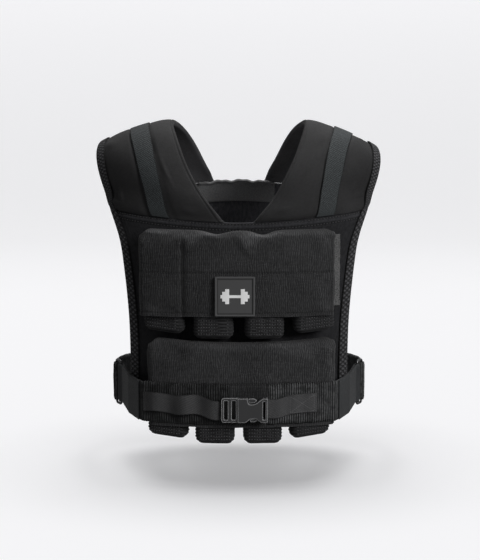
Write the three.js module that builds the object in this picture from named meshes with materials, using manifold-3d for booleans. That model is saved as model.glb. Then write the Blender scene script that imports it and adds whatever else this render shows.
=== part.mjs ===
// A short weighted vest in its worn form. Millimetres, +Z up, the front faces -Y,
// and the origin lies between the shoulders, level with the underside of the strap crowns.
import * as THREE from 'three';
import { mergeVertices } from 'three/addons/utils/BufferGeometryUtils.js';
import Module from 'manifold-3d';

const wasm = await Module();
wasm.setup();

// The body inside the vest: a rounded plan that the panels wrap round
const TORSO_HALF_WIDTH = 172;
const TORSO_HALF_DEPTH = 98;
const TORSO_ROUNDNESS = 2.25;

// Clearances
const LAID_GAP = 0.4;
const WRAP_GAP = 0.55;

// Padded panels
const PADDING = 8;
const PANEL_HALF_WIDTH = 133;
const PANEL_BOTTOM = -365;
const CHEST_SEAM_CENTRE = -118;
const CHEST_SEAM_SIDE = -105;
const BACK_SEAM_CENTRE = -79;
const BACK_SEAM_SIDE = -95;

// Shoulder straps
const SHOULDER_HALF_WIDTH = 179;
const SHOULDER_SLOPE = 29;
const FRONT_NECK_HALF_WIDTH = 18;
const BACK_NECK_HALF_WIDTH = 34;
const STRAP_ARCH = 18;
const STRAP_RISE = 7;
const STRAP_FLARE = 3.5;

// Webbing sewn on the straps and on the belt
const WEBBING_WIDTH = 25;
const WEBBING_THICKNESS = 1.5;

// Knitted edge binding
const BINDING_WIDTH = 8;
const BINDING_WALL = 1.2;

// Cover flaps over the weight pouches
const FLAP_THICKNESS = 2;
const FLAP_HEIGHT = 108;
const UPPER_FLAP_TOP = -125;
const LOWER_FLAP_TOP = -266;
const UPPER_FLAP_OF_PANEL = 0.838;
const LOWER_FLAP_OF_PANEL = 0.812;
const UPPER_FLAP_HALF_ARC = PANEL_HALF_WIDTH * UPPER_FLAP_OF_PANEL;
const LOWER_FLAP_HALF_ARC = PANEL_HALF_WIDTH * LOWER_FLAP_OF_PANEL;

// Weight pouches
const POUCH_HEIGHT = 125;
const OUTER_POUCH_HEIGHT = 120;
const POUCH_HALF_WIDTH = 23.5;
const POUCH_DEPTH = 28;
const UPPER_POUCH_BELOW_FLAP_TOP = 12;
const LOWER_POUCH_BELOW_FLAP_TOP = 6;
const UPPER_POUCH_ARCS = { inner: PANEL_HALF_WIDTH * 0.229, outer: PANEL_HALF_WIDTH * 0.662 };
const LOWER_POUCH_ARCS = { inner: PANEL_HALF_WIDTH * 0.214, outer: PANEL_HALF_WIDTH * 0.635 };

// Strip of loop tape beside the upper flap
const TAPE_WIDTH = 10;
const TAPE_HEIGHT = 92;
const TAPE_THICKNESS = 1.5;
const TAPE_TOP = -134;
const TAPE_BESIDE_FLAP = 6;

// Square rubber patch with a raised rim and an emblem
const PATCH_SIDE = 50;
const PATCH_THICKNESS = 1.6;
const PATCH_RIM_WIDTH = 2.5;
const PATCH_RIM_HEIGHT = 0.9;
const PATCH_CENTRE_X = -5;
const PATCH_CENTRE_Z = -206;
const EMBLEM_WIDTH = 36;
const EMBLEM_THICKNESS = 0.5;

// Belt of elastic bands that fold back round two metal loops
const BELT_WIDTH = 52;
const BELT_CENTRE = -343;
const BAND_THICKNESS = 2;
const LEFT_BAND_END_X = -10;
const RIGHT_BAND_END_X = 34;
const FRONT_TAIL_LENGTH = 108;
const BACK_TAIL_LENGTH = 30;
const RING_WIRE = 3.4;
const RING_OPENING = 12;
const RING_HEIGHT = 56;
const RING_X = 162.5;
const RING_Y = -5;

// Side-release buckle and its webbing
const BUCKLE_LEFT_X = -22;
const BUCKLE_LENGTH = 58;
const BUCKLE_HEIGHT = 31;
const BUCKLE_THICKNESS = 9;
const BUCKLE_DROP = 6;
const LATCH_FRAME_LENGTH = 20;
const LATCH_THICKNESS = 4;
const LEFT_WEBBING_START_ARC = LOWER_FLAP_HALF_ARC;
const RIGHT_WEBBING_END_ARC = 88;

const SIDES = [
  { name: 'left', sign: -1 },
  { name: 'right', sign: 1 },
];

const vest = new THREE.Group();

const CLOTH = { color: 0x1b1c1f, roughness: 0.95, metalness: 0 };
const SMOOTH_CLOTH = { color: 0x202124, roughness: 0.9, metalness: 0 };
const WEBBING = { color: 0x2a2e31, roughness: 0.75, metalness: 0 };
const TAPE = { color: 0x8c8f92, roughness: 1, metalness: 0 };
const RUBBER = { color: 0x2c2c2e, roughness: 0.6, metalness: 0 };
const PRINT = { color: 0xe4e4e4, roughness: 0.6, metalness: 0 };
const PLASTIC = { color: 0x1c1c1e, roughness: 0.4, metalness: 0 };
const METAL = { color: 0x151517, roughness: 0.35, metalness: 0.8 };

function addPiece(name, geometry, look) {
  const mesh = new THREE.Mesh(geometry, new THREE.MeshStandardMaterial(look));
  mesh.name = name;
  vest.add(mesh);
}

// Shapes and grids

function evenShares(steps) {
  return Array.from({ length: steps + 1 }, (_, i) => i / steps);
}

// A smooth value between the rows of a table, where `place` is the column that runs from 0 to 1
function readTable(rows, place, column, at) {
  const curve = new THREE.SplineCurve(rows.map((row) => new THREE.Vector2(row[place], row[column])));
  let last = rows.length - 2;
  while (last > 0 && rows[last][place] > at) last -= 1;
  const within = (at - rows[last][place]) / (rows[last + 1][place] - rows[last][place]);
  return curve.getPoint((last + Math.min(Math.max(within, 0), 1)) / (rows.length - 1)).y;
}

function signedVolume(positions, faces) {
  const [a, b, c] = [new THREE.Vector3(), new THREE.Vector3(), new THREE.Vector3()];
  let volume = 0;
  for (let i = 0; i < faces.length; i += 3) {
    a.fromArray(positions, faces[i] * 3);
    b.fromArray(positions, faces[i + 1] * 3);
    c.fromArray(positions, faces[i + 2] * 3);
    volume += a.dot(b.cross(c)) / 6;
  }
  return volume;
}

function closedGeometry(points, faces) {
  const positions = points.flatMap((point) => point.toArray());
  if (signedVolume(positions, faces) < 0) faces.reverse();
  const geometry = new THREE.BufferGeometry();
  geometry.setAttribute('position', new THREE.Float32BufferAttribute(positions, 3));
  geometry.setIndex(faces);
  geometry.computeVertexNormals();
  return geometry;
}

// Rows of points; widthShares is a list, or a function that gives each row its own list
function gridOf(lengthShares, widthShares, pointAt) {
  const sharesOf = typeof widthShares === 'function' ? widthShares : () => widthShares;
  return lengthShares.map((along) => sharesOf(along).map((across) => pointAt(along, across)));
}

// Two triangles for a quad, split along its shorter diagonal so that laid pieces are split alike
function quadFaces(points, a, b, c, d) {
  const straight = points[a].distanceTo(points[c]) <= points[b].distanceTo(points[d]);
  return straight ? [a, b, c, a, c, d] : [a, b, d, b, c, d];
}

// A closed sheet between two grids of the same size
function sheetBetween(inner, outer) {
  const rows = inner.length;
  const columns = inner[0].length;
  const number = (layer, i, j) => (layer * rows + i) * columns + j;
  const points = [...inner.flat(), ...outer.flat()];
  const faces = [];
  const addQuad = (a, b, c, d) => faces.push(...quadFaces(points, a, b, c, d));
  for (let i = 0; i < rows - 1; i++) {
    for (let j = 0; j < columns - 1; j++) {
      addQuad(number(0, i, j), number(0, i, j + 1), number(0, i + 1, j + 1), number(0, i + 1, j));
      addQuad(number(1, i, j), number(1, i + 1, j), number(1, i + 1, j + 1), number(1, i, j + 1));
    }
  }
  for (let i = 0; i < rows - 1; i++) {
    for (const [j, flip] of [[0, false], [columns - 1, true]]) {
      const corners = [number(0, i, j), number(0, i + 1, j), number(1, i + 1, j), number(1, i, j)];
      addQuad(...(flip ? corners.reverse() : corners));
    }
  }
  for (let j = 0; j < columns - 1; j++) {
    for (const [i, flip] of [[0, true], [rows - 1, false]]) {
      const corners = [number(0, i, j), number(0, i, j + 1), number(1, i, j + 1), number(1, i, j)];
      addQuad(...(flip ? corners.reverse() : corners));
    }
  }
  return closedGeometry(points, faces);
}

// A solid skinned over closed rings of points, with flat ends
function skinOver(rings, closed = false) {
  const around = rings[0].length;
  const points = rings.flat();
  const faces = [];
  const spans = closed ? rings.length : rings.length - 1;
  for (let i = 0; i < spans; i++) {
    const next = (i + 1) % rings.length;
    for (let j = 0; j < around; j++) {
      const k = (j + 1) % around;
      faces.push(...quadFaces(points, i * around + j, i * around + k, next * around + k, next * around + j));
    }
  }
  if (!closed) {
    const outline = endOutline(rings[0]);
    const last = (rings.length - 1) * around;
    for (const [a, b, c] of outline) faces.push(a, c, b);
    for (const [a, b, c] of outline) faces.push(last + a, last + b, last + c);
  }
  return closedGeometry(points, faces);
}

// Triangles that fill a flat ring, wound the same way as the ring itself
function endOutline(ring) {
  const middle = ring.reduce((sum, point) => sum.add(point), new THREE.Vector3()).divideScalar(ring.length);
  const normal = new THREE.Vector3();
  ring.forEach((point, i) => {
    const next = ring[(i + 1) % ring.length].clone().sub(middle);
    normal.add(point.clone().sub(middle).cross(next));
  });
  normal.normalize();
  const across = ring[0].clone().sub(middle).normalize();
  const up = normal.clone().cross(across);
  const flat = ring.map((point) => {
    const offset = point.clone().sub(middle);
    return new THREE.Vector2(offset.dot(across), offset.dot(up));
  });
  return THREE.ShapeUtils.triangulateShape(flat, []);
}

function toSolid(geometry) {
  const bare = geometry.clone();
  bare.deleteAttribute('normal');
  bare.deleteAttribute('uv');
  const merged = mergeVertices(bare, 1e-4);
  return new wasm.Manifold(
    new wasm.Mesh({
      numProp: 3,
      vertProperties: new Float32Array(merged.attributes.position.array),
      triVerts: new Uint32Array(merged.index.array),
    }),
  );
}

function toGeometry(solid) {
  const mesh = solid.getMesh();
  const geometry = new THREE.BufferGeometry();
  geometry.setAttribute('position', new THREE.Float32BufferAttribute(mesh.vertProperties, 3));
  geometry.setIndex(Array.from(mesh.triVerts));
  geometry.computeVertexNormals();
  return geometry;
}

// The torso plan by its length round the body, from the front centre to the back centre

const PLAN_STEPS = 400;
const plan = evenShares(PLAN_STEPS).map((turn) => {
  const angle = turn * Math.PI;
  const power = 2 / TORSO_ROUNDNESS;
  const forward = Math.cos(angle);
  const x = TORSO_HALF_WIDTH * Math.abs(Math.sin(angle)) ** power;
  const y = -TORSO_HALF_DEPTH * Math.sign(forward) * Math.abs(forward) ** power;
  return new THREE.Vector2(x, y);
});
const planArc = [0];
for (let i = 1; i <= PLAN_STEPS; i++) planArc.push(planArc[i - 1] + plan[i].distanceTo(plan[i - 1]));
const HALF_GIRTH = planArc[PLAN_STEPS];

function planNormal(x, y) {
  const power = TORSO_ROUNDNESS - 1;
  const across = (Math.sign(x) * Math.abs(x) ** power) / TORSO_HALF_WIDTH ** TORSO_ROUNDNESS;
  const deep = (Math.sign(y) * Math.abs(y) ** power) / TORSO_HALF_DEPTH ** TORSO_ROUNDNESS;
  return new THREE.Vector2(across, deep).normalize();
}

// The point at `arc` from the front centre, `out` from the body; facing is -1 for the back centre
function aroundTorso(arc, out, facing = 1) {
  const length = Math.min(Math.abs(arc), HALF_GIRTH);
  let i = 1;
  while (i < PLAN_STEPS && planArc[i] < length) i += 1;
  const share = (length - planArc[i - 1]) / (planArc[i] - planArc[i - 1]);
  const point = plan[i - 1].clone().lerp(plan[i], share);
  point.addScaledVector(planNormal(point.x, point.y), out);
  return new THREE.Vector2(point.x * Math.sign(arc || 1), point.y * facing);
}

// The length round the body at which the plan is `x` from the middle
function arcAtWidth(x) {
  let i = 1;
  while (i < PLAN_STEPS / 2 && plan[i].x < x) i += 1;
  const share = (x - plan[i - 1].x) / (plan[i].x - plan[i - 1].x);
  return planArc[i - 1] + Math.min(share, 1) * (planArc[i] - planArc[i - 1]);
}

// Panels: the front is sewn to the straps at the chest seam, the back at the back seam

const PANEL_WIDTHS = [
  { down: 0, width: 1.19 },
  { down: 0.127, width: 1.106 },
  { down: 0.215, width: 1.071 },
  { down: 0.49, width: 1.015 },
  { down: 0.7, width: 1 },
  { down: 1, width: 1 },
];
const SEAM_BEND = 1.6;
const FRONT = { facing: 1, seamCentre: CHEST_SEAM_CENTRE, seamSide: CHEST_SEAM_SIDE };
const BACK = { facing: -1, seamCentre: BACK_SEAM_CENTRE, seamSide: BACK_SEAM_SIDE };

function panelHalfArc(panel, z) {
  const down = (panel.seamSide - z) / (panel.seamSide - PANEL_BOTTOM);
  return arcAtWidth(PANEL_HALF_WIDTH * readTable(PANEL_WIDTHS, 'down', 'width', Math.max(down, 0)));
}

function seamHeight(panel, share) {
  return panel.seamCentre + (panel.seamSide - panel.seamCentre) * Math.abs(share) ** SEAM_BEND;
}

// across runs from -1 to 1, and down from the seam to the bottom edge
function onPanel(panel, down, across, out) {
  const top = seamHeight(panel, across);
  const z = top + (PANEL_BOTTOM - top) * down;
  const flat = aroundTorso(across * panelHalfArc(panel, z), out, panel.facing);
  return new THREE.Vector3(flat.x, flat.y, z);
}

const PANEL_DOWN = evenShares(12);
const PANEL_COLUMNS = evenShares(14).map((share) => share * 2 - 1);

// The share of a panel's half width at which its edge binding starts
function panelBindingShare(panel, down) {
  const z = panel.seamSide + (PANEL_BOTTOM - panel.seamSide) * down;
  return 1 - BINDING_WIDTH / panelHalfArc(panel, z);
}

for (const [name, panel] of [['front_panel', FRONT], ['back_panel', BACK]]) {
  const sharesOf = (down) => {
    const start = panelBindingShare(panel, down);
    return [-1, ...PANEL_COLUMNS.map((share) => share * start), 1];
  };
  const layer = (out) => gridOf(PANEL_DOWN, sharesOf, (down, across) => onPanel(panel, down, across, out));
  addPiece(name, sheetBetween(layer(0), layer(PADDING)), CLOTH);
}

// Shoulder straps: lofted from the chest seam over the crown to the back seam.
// Each row gives both edges as shares: wide of the shoulder, out of the torso depth, drop of the seam;
// `crown` is its share of the arch between the edges.

const FRONT_STATIONS = [
  { neckWide: 0.229, neckOut: 0.92, neckDrop: 0.8, armWide: 0.924, armOut: 0.345, armDrop: 0.73, crown: 1 },
  { neckWide: 0.3125, neckOut: 0.81, neckDrop: 0.6, armWide: 0.965, armOut: 0.335, armDrop: 0.55, crown: 0.833 },
  { neckWide: 0.39, neckOut: 0.64, neckDrop: 0.385, armWide: 0.993, armOut: 0.275, armDrop: 0.39, crown: 0.667 },
  { neckWide: 0.453, neckOut: 0.36, neckDrop: 0.14, armWide: 0.998, armOut: 0.155, armDrop: 0.285, crown: 0.5 },
];
const CROWN_STATION = { neckWide: 0.486, neckOut: 0, neckDrop: 0, armWide: 0.984, armOut: 0, armDrop: 0, crown: 0.32 };
const BACK_STATIONS = [
  { neckWide: 0.408, neckOut: 0.34, neckDrop: 0.11, armWide: 0.998, armOut: 0.155, armDrop: 0.46, crown: 0.5 },
  { neckWide: 0.341, neckOut: 0.6, neckDrop: 0.34, armWide: 0.993, armOut: 0.275, armDrop: 0.63, crown: 0.611 },
  { neckWide: 0.285, neckOut: 0.79, neckDrop: 0.6, armWide: 0.965, armOut: 0.335, armDrop: 0.83, crown: 0.722 },
  { neckWide: 0.236, neckOut: 0.92, neckDrop: 0.82, armWide: 0.924, armOut: 0.345, armDrop: 1.0, crown: 0.944 },
];

// A section of the strap that lies on the torso, `rise` above its seam
function seamSection(panel, neckHalfWidth, rise, flare) {
  const neckArc = arcAtWidth(neckHalfWidth);
  const seamArc = panelHalfArc(panel, panel.seamSide);
  const sideArc = seamArc + flare;
  return (across) => {
    const arc = neckArc + (sideArc - neckArc) * across;
    const flat = aroundTorso(arc, 0, panel.facing);
    const z = seamHeight(panel, Math.min(arc / seamArc, 1)) + LAID_GAP + rise;
    return new THREE.Vector3(flat.x, flat.y, z);
  };
}

function crownedSection(row, facing, seamDrop) {
  const slope = facing === 0 ? SHOULDER_SLOPE : 0;
  const depth = -(facing || 1) * TORSO_HALF_DEPTH;
  const neck = new THREE.Vector3(row.neckWide * SHOULDER_HALF_WIDTH, row.neckOut * depth, row.neckDrop * seamDrop);
  const arm = new THREE.Vector3(row.armWide * SHOULDER_HALF_WIDTH, row.armOut * depth, row.armDrop * seamDrop - slope);
  const middle = neck.clone().add(arm).multiplyScalar(0.5);
  const bulge = new THREE.Vector3(0, middle.y, 1).normalize();
  if (facing !== 0) bulge.set(arm.z === neck.z ? 0 : 0.25, middle.y / TORSO_HALF_DEPTH, 0.45).normalize();
  return (across) => {
    const point = neck.clone().lerp(arm, across);
    return point.addScaledVector(bulge, row.crown * STRAP_ARCH * 4 * across * (1 - across));
  };
}

const strapSections = [
  seamSection(FRONT, FRONT_NECK_HALF_WIDTH, 0, 0),
  seamSection(FRONT, FRONT_NECK_HALF_WIDTH + STRAP_RISE, STRAP_RISE, STRAP_FLARE * 2),
  ...FRONT_STATIONS.map((row) => crownedSection(row, 1, CHEST_SEAM_CENTRE)),
  crownedSection(CROWN_STATION, 0, 0),
  ...BACK_STATIONS.map((row) => crownedSection(row, -1, BACK_SEAM_CENTRE)),
  seamSection(BACK, BACK_NECK_HALF_WIDTH + STRAP_RISE / 2, STRAP_RISE, STRAP_FLARE * 2),
  seamSection(BACK, BACK_NECK_HALF_WIDTH, 0, 0),
];

function strapSurface(along, across) {
  const lengthwise = new THREE.CatmullRomCurve3(strapSections.map((section) => section(across)));
  return lengthwise.getPoint(along);
}

const PROBE = 0.004;
function strapNormal(along, across) {
  const step = (share) => [Math.max(share - PROBE, 0), Math.min(share + PROBE, 1)];
  const [before, after] = step(along);
  const [inside, outside] = step(across);
  const lengthwise = strapSurface(after, across).sub(strapSurface(before, across));
  const sideways = strapSurface(along, outside).sub(strapSurface(along, inside));
  const normal = sideways.cross(lengthwise).normalize();
  const seamEnd = along === 0 || along === 1;
  if (seamEnd) normal.z = 0;
  return normal.normalize();
}

function onStrap(sign, along, across, out) {
  const normal = strapNormal(along, across);
  const point = strapSurface(along, across).addScaledVector(normal, out);
  return new THREE.Vector3(point.x * sign, point.y, point.z);
}

const STRAP_ALONG = evenShares((strapSections.length - 1) * 2);
const STRAP_COLUMNS = evenShares(6);

function strapBindingShare(along) {
  return 1 - BINDING_WIDTH / strapSurface(along, 1).distanceTo(strapSurface(along, 0));
}

const strapShares = (along) => [...STRAP_COLUMNS.map((share) => share * strapBindingShare(along)), 1];
for (const { name, sign } of SIDES) {
  const layer = (out) => gridOf(STRAP_ALONG, strapShares, (along, across) => onStrap(sign, along, across, out));
  addPiece(`shoulder_strap_${name}`, sheetBetween(layer(0), layer(PADDING)), SMOOTH_CLOTH);
}

// Webbing sewn along the middle of each strap

const WEBBING_ENDS = [0.012, 0.988];
const webbingAlong = STRAP_ALONG.map((share) => Math.min(Math.max(share, WEBBING_ENDS[0]), WEBBING_ENDS[1]));
for (const { name, sign } of SIDES) {
  const layer = (out) =>
    gridOf(webbingAlong, [-0.5, 0, 0.5], (along, side) => {
      const width = onStrap(1, along, 1, out).distanceTo(onStrap(1, along, 0, out));
      return onStrap(sign, along, 0.5 + (side * WEBBING_WIDTH) / width, out);
    });
  const base = PADDING + LAID_GAP;
  addPiece(`shoulder_webbing_${name}`, sheetBetween(layer(base), layer(base + WEBBING_THICKNESS)), WEBBING);
}

// Edge binding: one channel down the front panel's side, over the strap and down the back panel's side

// The channel's outline at one row: pointAt gives the sheet's points, and start is where the binding begins
function bindingRing(pointAt, start) {
  const reach = pointAt(1, PADDING / 2).sub(pointAt(start, PADDING / 2)).normalize();
  const corner = (share, out, beyond) => pointAt(share, out).addScaledVector(reach, beyond);
  const [over, under] = [PADDING + WRAP_GAP, -WRAP_GAP];
  const beyond = WRAP_GAP + BINDING_WALL;
  return [
    corner(start, over + BINDING_WALL, 0),
    corner(1, over + BINDING_WALL, beyond),
    corner(1, under - BINDING_WALL, beyond),
    corner(start, under - BINDING_WALL, 0),
    corner(start, under, 0),
    corner(1, under, WRAP_GAP),
    corner(1, over, WRAP_GAP),
    corner(start, over, 0),
  ];
}

for (const { name, sign } of SIDES) {
  const panelRing = (panel, down) =>
    bindingRing((across, out) => onPanel(panel, down, across * sign, out), panelBindingShare(panel, down));
  const strapRing = (along) =>
    bindingRing((across, out) => onStrap(sign, along, across, out), strapBindingShare(along));
  const rings = [
    ...[...PANEL_DOWN].reverse().map((down) => panelRing(FRONT, down)),
    ...STRAP_ALONG.slice(1, -1).map(strapRing),
    ...PANEL_DOWN.map((down) => panelRing(BACK, down)),
  ];
  addPiece(`armhole_binding_${name}`, skinOver(rings), CLOTH);
}

// Cover flaps: sewn to the panel at the top, out over the pouches, and straight down over their fronts

const FLAP_SECTION = [
  { out: 0, down: 0.045 },
  { out: 0.35, down: 0.005 },
  { out: 0.72, down: 0.02 },
  { out: 0.96, down: 0.09 },
  { out: 1, down: 0.2 },
  { out: 1, down: 0.6 },
  { out: 1, down: 1 },
];
const ON_PANEL = PADDING + LAID_GAP;
const FLAP_REACH = POUCH_DEPTH + LAID_GAP;

function addFlap(name, top, halfArc) {
  const inner = FLAP_SECTION.map(({ out, down }) => new THREE.Vector2(ON_PANEL + out * FLAP_REACH, -down * FLAP_HEIGHT));
  const outer = inner.map((point, i) => {
    const before = inner[Math.max(i - 1, 0)];
    const after = inner[Math.min(i + 1, inner.length - 1)];
    const along = after.clone().sub(before).normalize();
    return point.clone().add(new THREE.Vector2(-along.y, along.x).multiplyScalar(FLAP_THICKNESS));
  });
  outer[0].set(ON_PANEL, inner[0].y + FLAP_THICKNESS * 1.4);
  const layer = (section) =>
    section.map((point) =>
      PANEL_COLUMNS.map((across) => {
        const flat = aroundTorso(across * halfArc, point.x);
        return new THREE.Vector3(flat.x, flat.y, top + point.y);
      }),
    );
  addPiece(name, sheetBetween(layer(inner), layer(outer)), CLOTH);
}
addFlap('upper_flap', UPPER_FLAP_TOP, UPPER_FLAP_HALF_ARC);
addFlap('lower_flap', LOWER_FLAP_TOP, LOWER_FLAP_HALF_ARC);

// Weight pouches: soft boxes that follow the panel, with rounded lower ends

const POUCH_SECTIONS = [
  { down: 0, wide: 0.9, deep: 0.72 },
  { down: 0.04, wide: 1, deep: 0.94 },
  { down: 0.1, wide: 1, deep: 1 },
  { down: 0.9, wide: 1, deep: 1 },
  { down: 0.965, wide: 0.96, deep: 0.94 },
  { down: 1, wide: 0.8, deep: 0.72 },
];
const POUCH_CORNER = 0.45;
const POUCH_AROUND = 14;

function addPouch(name, top, arc, height) {
  const rings = POUCH_SECTIONS.map(({ down, wide, deep }) =>
    Array.from({ length: POUCH_AROUND }, (_, i) => {
      const angle = ((i + 0.5) / POUCH_AROUND) * Math.PI * 2;
      const round = (value) => Math.sign(value) * Math.abs(value) ** POUCH_CORNER;
      const across = round(Math.sin(angle)) * POUCH_HALF_WIDTH * wide;
      const out = ON_PANEL + ((1 + round(Math.cos(angle))) / 2) * POUCH_DEPTH * deep;
      const flat = aroundTorso(arc + across, out);
      return new THREE.Vector3(flat.x, flat.y, top - down * height);
    }),
  );
  addPiece(name, skinOver(rings), CLOTH);
}

const POUCH_ROWS = [
  { name: 'upper_pouch', top: UPPER_FLAP_TOP - UPPER_POUCH_BELOW_FLAP_TOP, arcs: UPPER_POUCH_ARCS },
  { name: 'lower_pouch', top: LOWER_FLAP_TOP - LOWER_POUCH_BELOW_FLAP_TOP, arcs: LOWER_POUCH_ARCS },
];
for (const { name, top, arcs } of POUCH_ROWS) {
  addPouch(`${name}_1`, top, -arcs.outer, OUTER_POUCH_HEIGHT);
  addPouch(`${name}_2`, top, -arcs.inner, POUCH_HEIGHT);
  addPouch(`${name}_3`, top, arcs.inner, POUCH_HEIGHT);
  addPouch(`${name}_4`, top, arcs.outer, OUTER_POUCH_HEIGHT);
}

// Loop tape on the front panel, just outside the upper flap's right edge

const TAPE_START_ARC = UPPER_FLAP_HALF_ARC + TAPE_BESIDE_FLAP;
const tapeLayer = (out) =>
  gridOf([0, 0.5, 1], [0, 0.5, 1], (down, across) => {
    const flat = aroundTorso(TAPE_START_ARC + across * TAPE_WIDTH, out);
    return new THREE.Vector3(flat.x, flat.y, TAPE_TOP - down * TAPE_HEIGHT);
  });
addPiece('loop_tape', sheetBetween(tapeLayer(ON_PANEL), tapeLayer(ON_PANEL + TAPE_THICKNESS)), TAPE);

// Flat pieces are drawn in x and z, and their thickness stands out towards -Y

function roundedRectangle(width, height, corner) {
  const [x, y] = [width / 2, height / 2];
  const shape = new THREE.Shape();
  shape.moveTo(-x + corner, -y);
  shape.lineTo(x - corner, -y);
  shape.absarc(x - corner, -y + corner, corner, -Math.PI / 2, 0);
  shape.lineTo(x, y - corner);
  shape.absarc(x - corner, y - corner, corner, 0, Math.PI / 2);
  shape.lineTo(-x + corner, y);
  shape.absarc(-x + corner, y - corner, corner, Math.PI / 2, Math.PI);
  shape.lineTo(-x, -y + corner);
  shape.absarc(-x + corner, -y + corner, corner, Math.PI, Math.PI * 1.5);
  return shape;
}

function facingFront(shape, thickness, x, backY, z, bevel = 0) {
  const geometry = new THREE.ExtrudeGeometry(shape, {
    depth: thickness - 2 * bevel,
    curveSegments: 4,
    bevelEnabled: bevel > 0,
    bevelThickness: bevel,
    bevelSize: bevel,
    bevelOffset: -bevel,
    bevelSegments: 2,
  });
  geometry.translate(0, 0, bevel);
  geometry.rotateX(Math.PI / 2);
  return geometry.translate(x, backY, z);
}

// Patch on the upper flap: a plate with a raised rim, and the emblem inside it

const FLAP_FRONT_Y = -(TORSO_HALF_DEPTH + ON_PANEL + FLAP_REACH + FLAP_THICKNESS);
const PATCH_BACK_Y = FLAP_FRONT_Y - LAID_GAP;
const PATCH_CORNER = 2;
const plate = roundedRectangle(PATCH_SIDE, PATCH_SIDE, PATCH_CORNER);
const rim = roundedRectangle(PATCH_SIDE, PATCH_SIDE, PATCH_CORNER);
const ground = PATCH_SIDE - 2 * PATCH_RIM_WIDTH;
rim.holes.push(roundedRectangle(ground, ground, PATCH_CORNER / 2));
const plateSolid = toSolid(facingFront(plate, PATCH_THICKNESS, PATCH_CENTRE_X, PATCH_BACK_Y, PATCH_CENTRE_Z));
const rimHeight = PATCH_THICKNESS + PATCH_RIM_HEIGHT;
const rimSolid = toSolid(facingFront(rim, rimHeight, PATCH_CENTRE_X, PATCH_BACK_Y, PATCH_CENTRE_Z));
addPiece('patch', toGeometry(plateSolid.add(rimSolid)), RUBBER);

// Half of a dumbbell outline as shares of the emblem's width, mirrored left and right
const DUMBBELL_STEPS = [
  { wide: 0.2, tall: 0.05 },
  { wide: 0.34, tall: 0.26 },
  { wide: 0.44, tall: 0.17 },
  { wide: 0.5, tall: 0.06 },
];
const emblemCorners = [];
let reached = 0;
for (const { wide, tall } of DUMBBELL_STEPS) {
  emblemCorners.push([reached * EMBLEM_WIDTH, tall * EMBLEM_WIDTH], [wide * EMBLEM_WIDTH, tall * EMBLEM_WIDTH]);
  reached = wide;
}
const upperRight = emblemCorners.slice(1);
const lowerRight = [...upperRight].reverse().map(([x, z]) => [x, -z]);
const rightHalf = [...upperRight, ...lowerRight];
const leftHalf = [...rightHalf].reverse().map(([x, z]) => [-x, z]);
const emblem = new THREE.Shape([...rightHalf, ...leftHalf].map(([x, z]) => new THREE.Vector2(x, z)));
const EMBLEM_BACK_Y = PATCH_BACK_Y - PATCH_THICKNESS - LAID_GAP * 0.75;
addPiece(
  'patch_emblem',
  facingFront(emblem, EMBLEM_THICKNESS, PATCH_CENTRE_X, EMBLEM_BACK_Y, PATCH_CENTRE_Z),
  PRINT,
);

// Belt: each band is an upright strip along a plan path, folded back round a leg of the ring

const BELT_OUT = ON_PANEL + FLAP_REACH + FLAP_THICKNESS + LAID_GAP + BAND_THICKNESS / 2;
const BINDING_OUT = PADDING + WRAP_GAP + BINDING_WALL + LAID_GAP + BAND_THICKNESS / 2;
const LEG_OFFSET = (RING_OPENING + RING_WIRE) / 2;
const FOLD_RADIUS = RING_WIRE / 2 + WRAP_GAP + BAND_THICKNESS / 2;
const WAIST_ARC = arcAtWidth(PANEL_HALF_WIDTH);

// Offsets a plan path to its left, keeping corners true
function besidePath(path, distance) {
  return path.map((point, i) => {
    const before = path[Math.max(i - 1, 0)];
    const after = path[Math.min(i + 1, path.length - 1)];
    const first = (i === 0 ? after.clone().sub(point) : point.clone().sub(before)).normalize();
    const second = (i === path.length - 1 ? first.clone() : after.clone().sub(point)).normalize();
    const along = first.clone().add(second).normalize();
    const reach = distance / Math.max(along.dot(first), 0.5);
    return new THREE.Vector2(point.x - along.y * reach, point.y + along.x * reach);
  });
}

function uprightStrip(path, thickness, centreAt, width) {
  const acrossShares = [-0.5, 0.5];
  const layer = (distance) =>
    besidePath(path, distance).map((point, i) =>
      acrossShares.map((share) => new THREE.Vector3(point.x, point.y, centreAt(i) + share * width)),
    );
  return sheetBetween(layer(-thickness / 2), layer(thickness / 2));
}

// Carries a path on round a ring leg and back over its own outer side for the length of the tail
function foldRound(path, leg, side, tailLength) {
  const last = path[path.length - 1];
  const along = leg.clone().sub(last).normalize();
  const outward = new THREE.Vector2(-along.y, along.x);
  if (outward.dot(side) < 0) outward.negate();
  const FOLD_STEPS = 6;
  const folded = [...path];
  for (const share of evenShares(FOLD_STEPS)) {
    const angle = share * Math.PI;
    const point = leg.clone().addScaledVector(outward, -Math.cos(angle) * FOLD_RADIUS);
    folded.push(point.addScaledVector(along, Math.sin(angle) * FOLD_RADIUS));
  }
  const under = [leg.clone().addScaledVector(outward, -FOLD_RADIUS)];
  let left = tailLength;
  for (const next of [...path].reverse()) {
    const from = under[under.length - 1];
    const run = next.distanceTo(from);
    under.push(from.clone().lerp(next, Math.min(left / run, 1)));
    left -= run;
    if (left <= 0) break;
  }
  const layerGap = (BAND_THICKNESS + LAID_GAP) * 1.15;
  const turn = outward.dot(new THREE.Vector2(along.y, -along.x)) > 0 ? 1 : -1;
  const tail = besidePath(under, layerGap * turn);
  tail[0] = tail[0].lerp(tail[1], Math.min(10 / tail[0].distanceTo(tail[1]), 1));
  return [...folded, ...tail];
}

const flatCentre = () => BELT_CENTRE;

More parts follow.
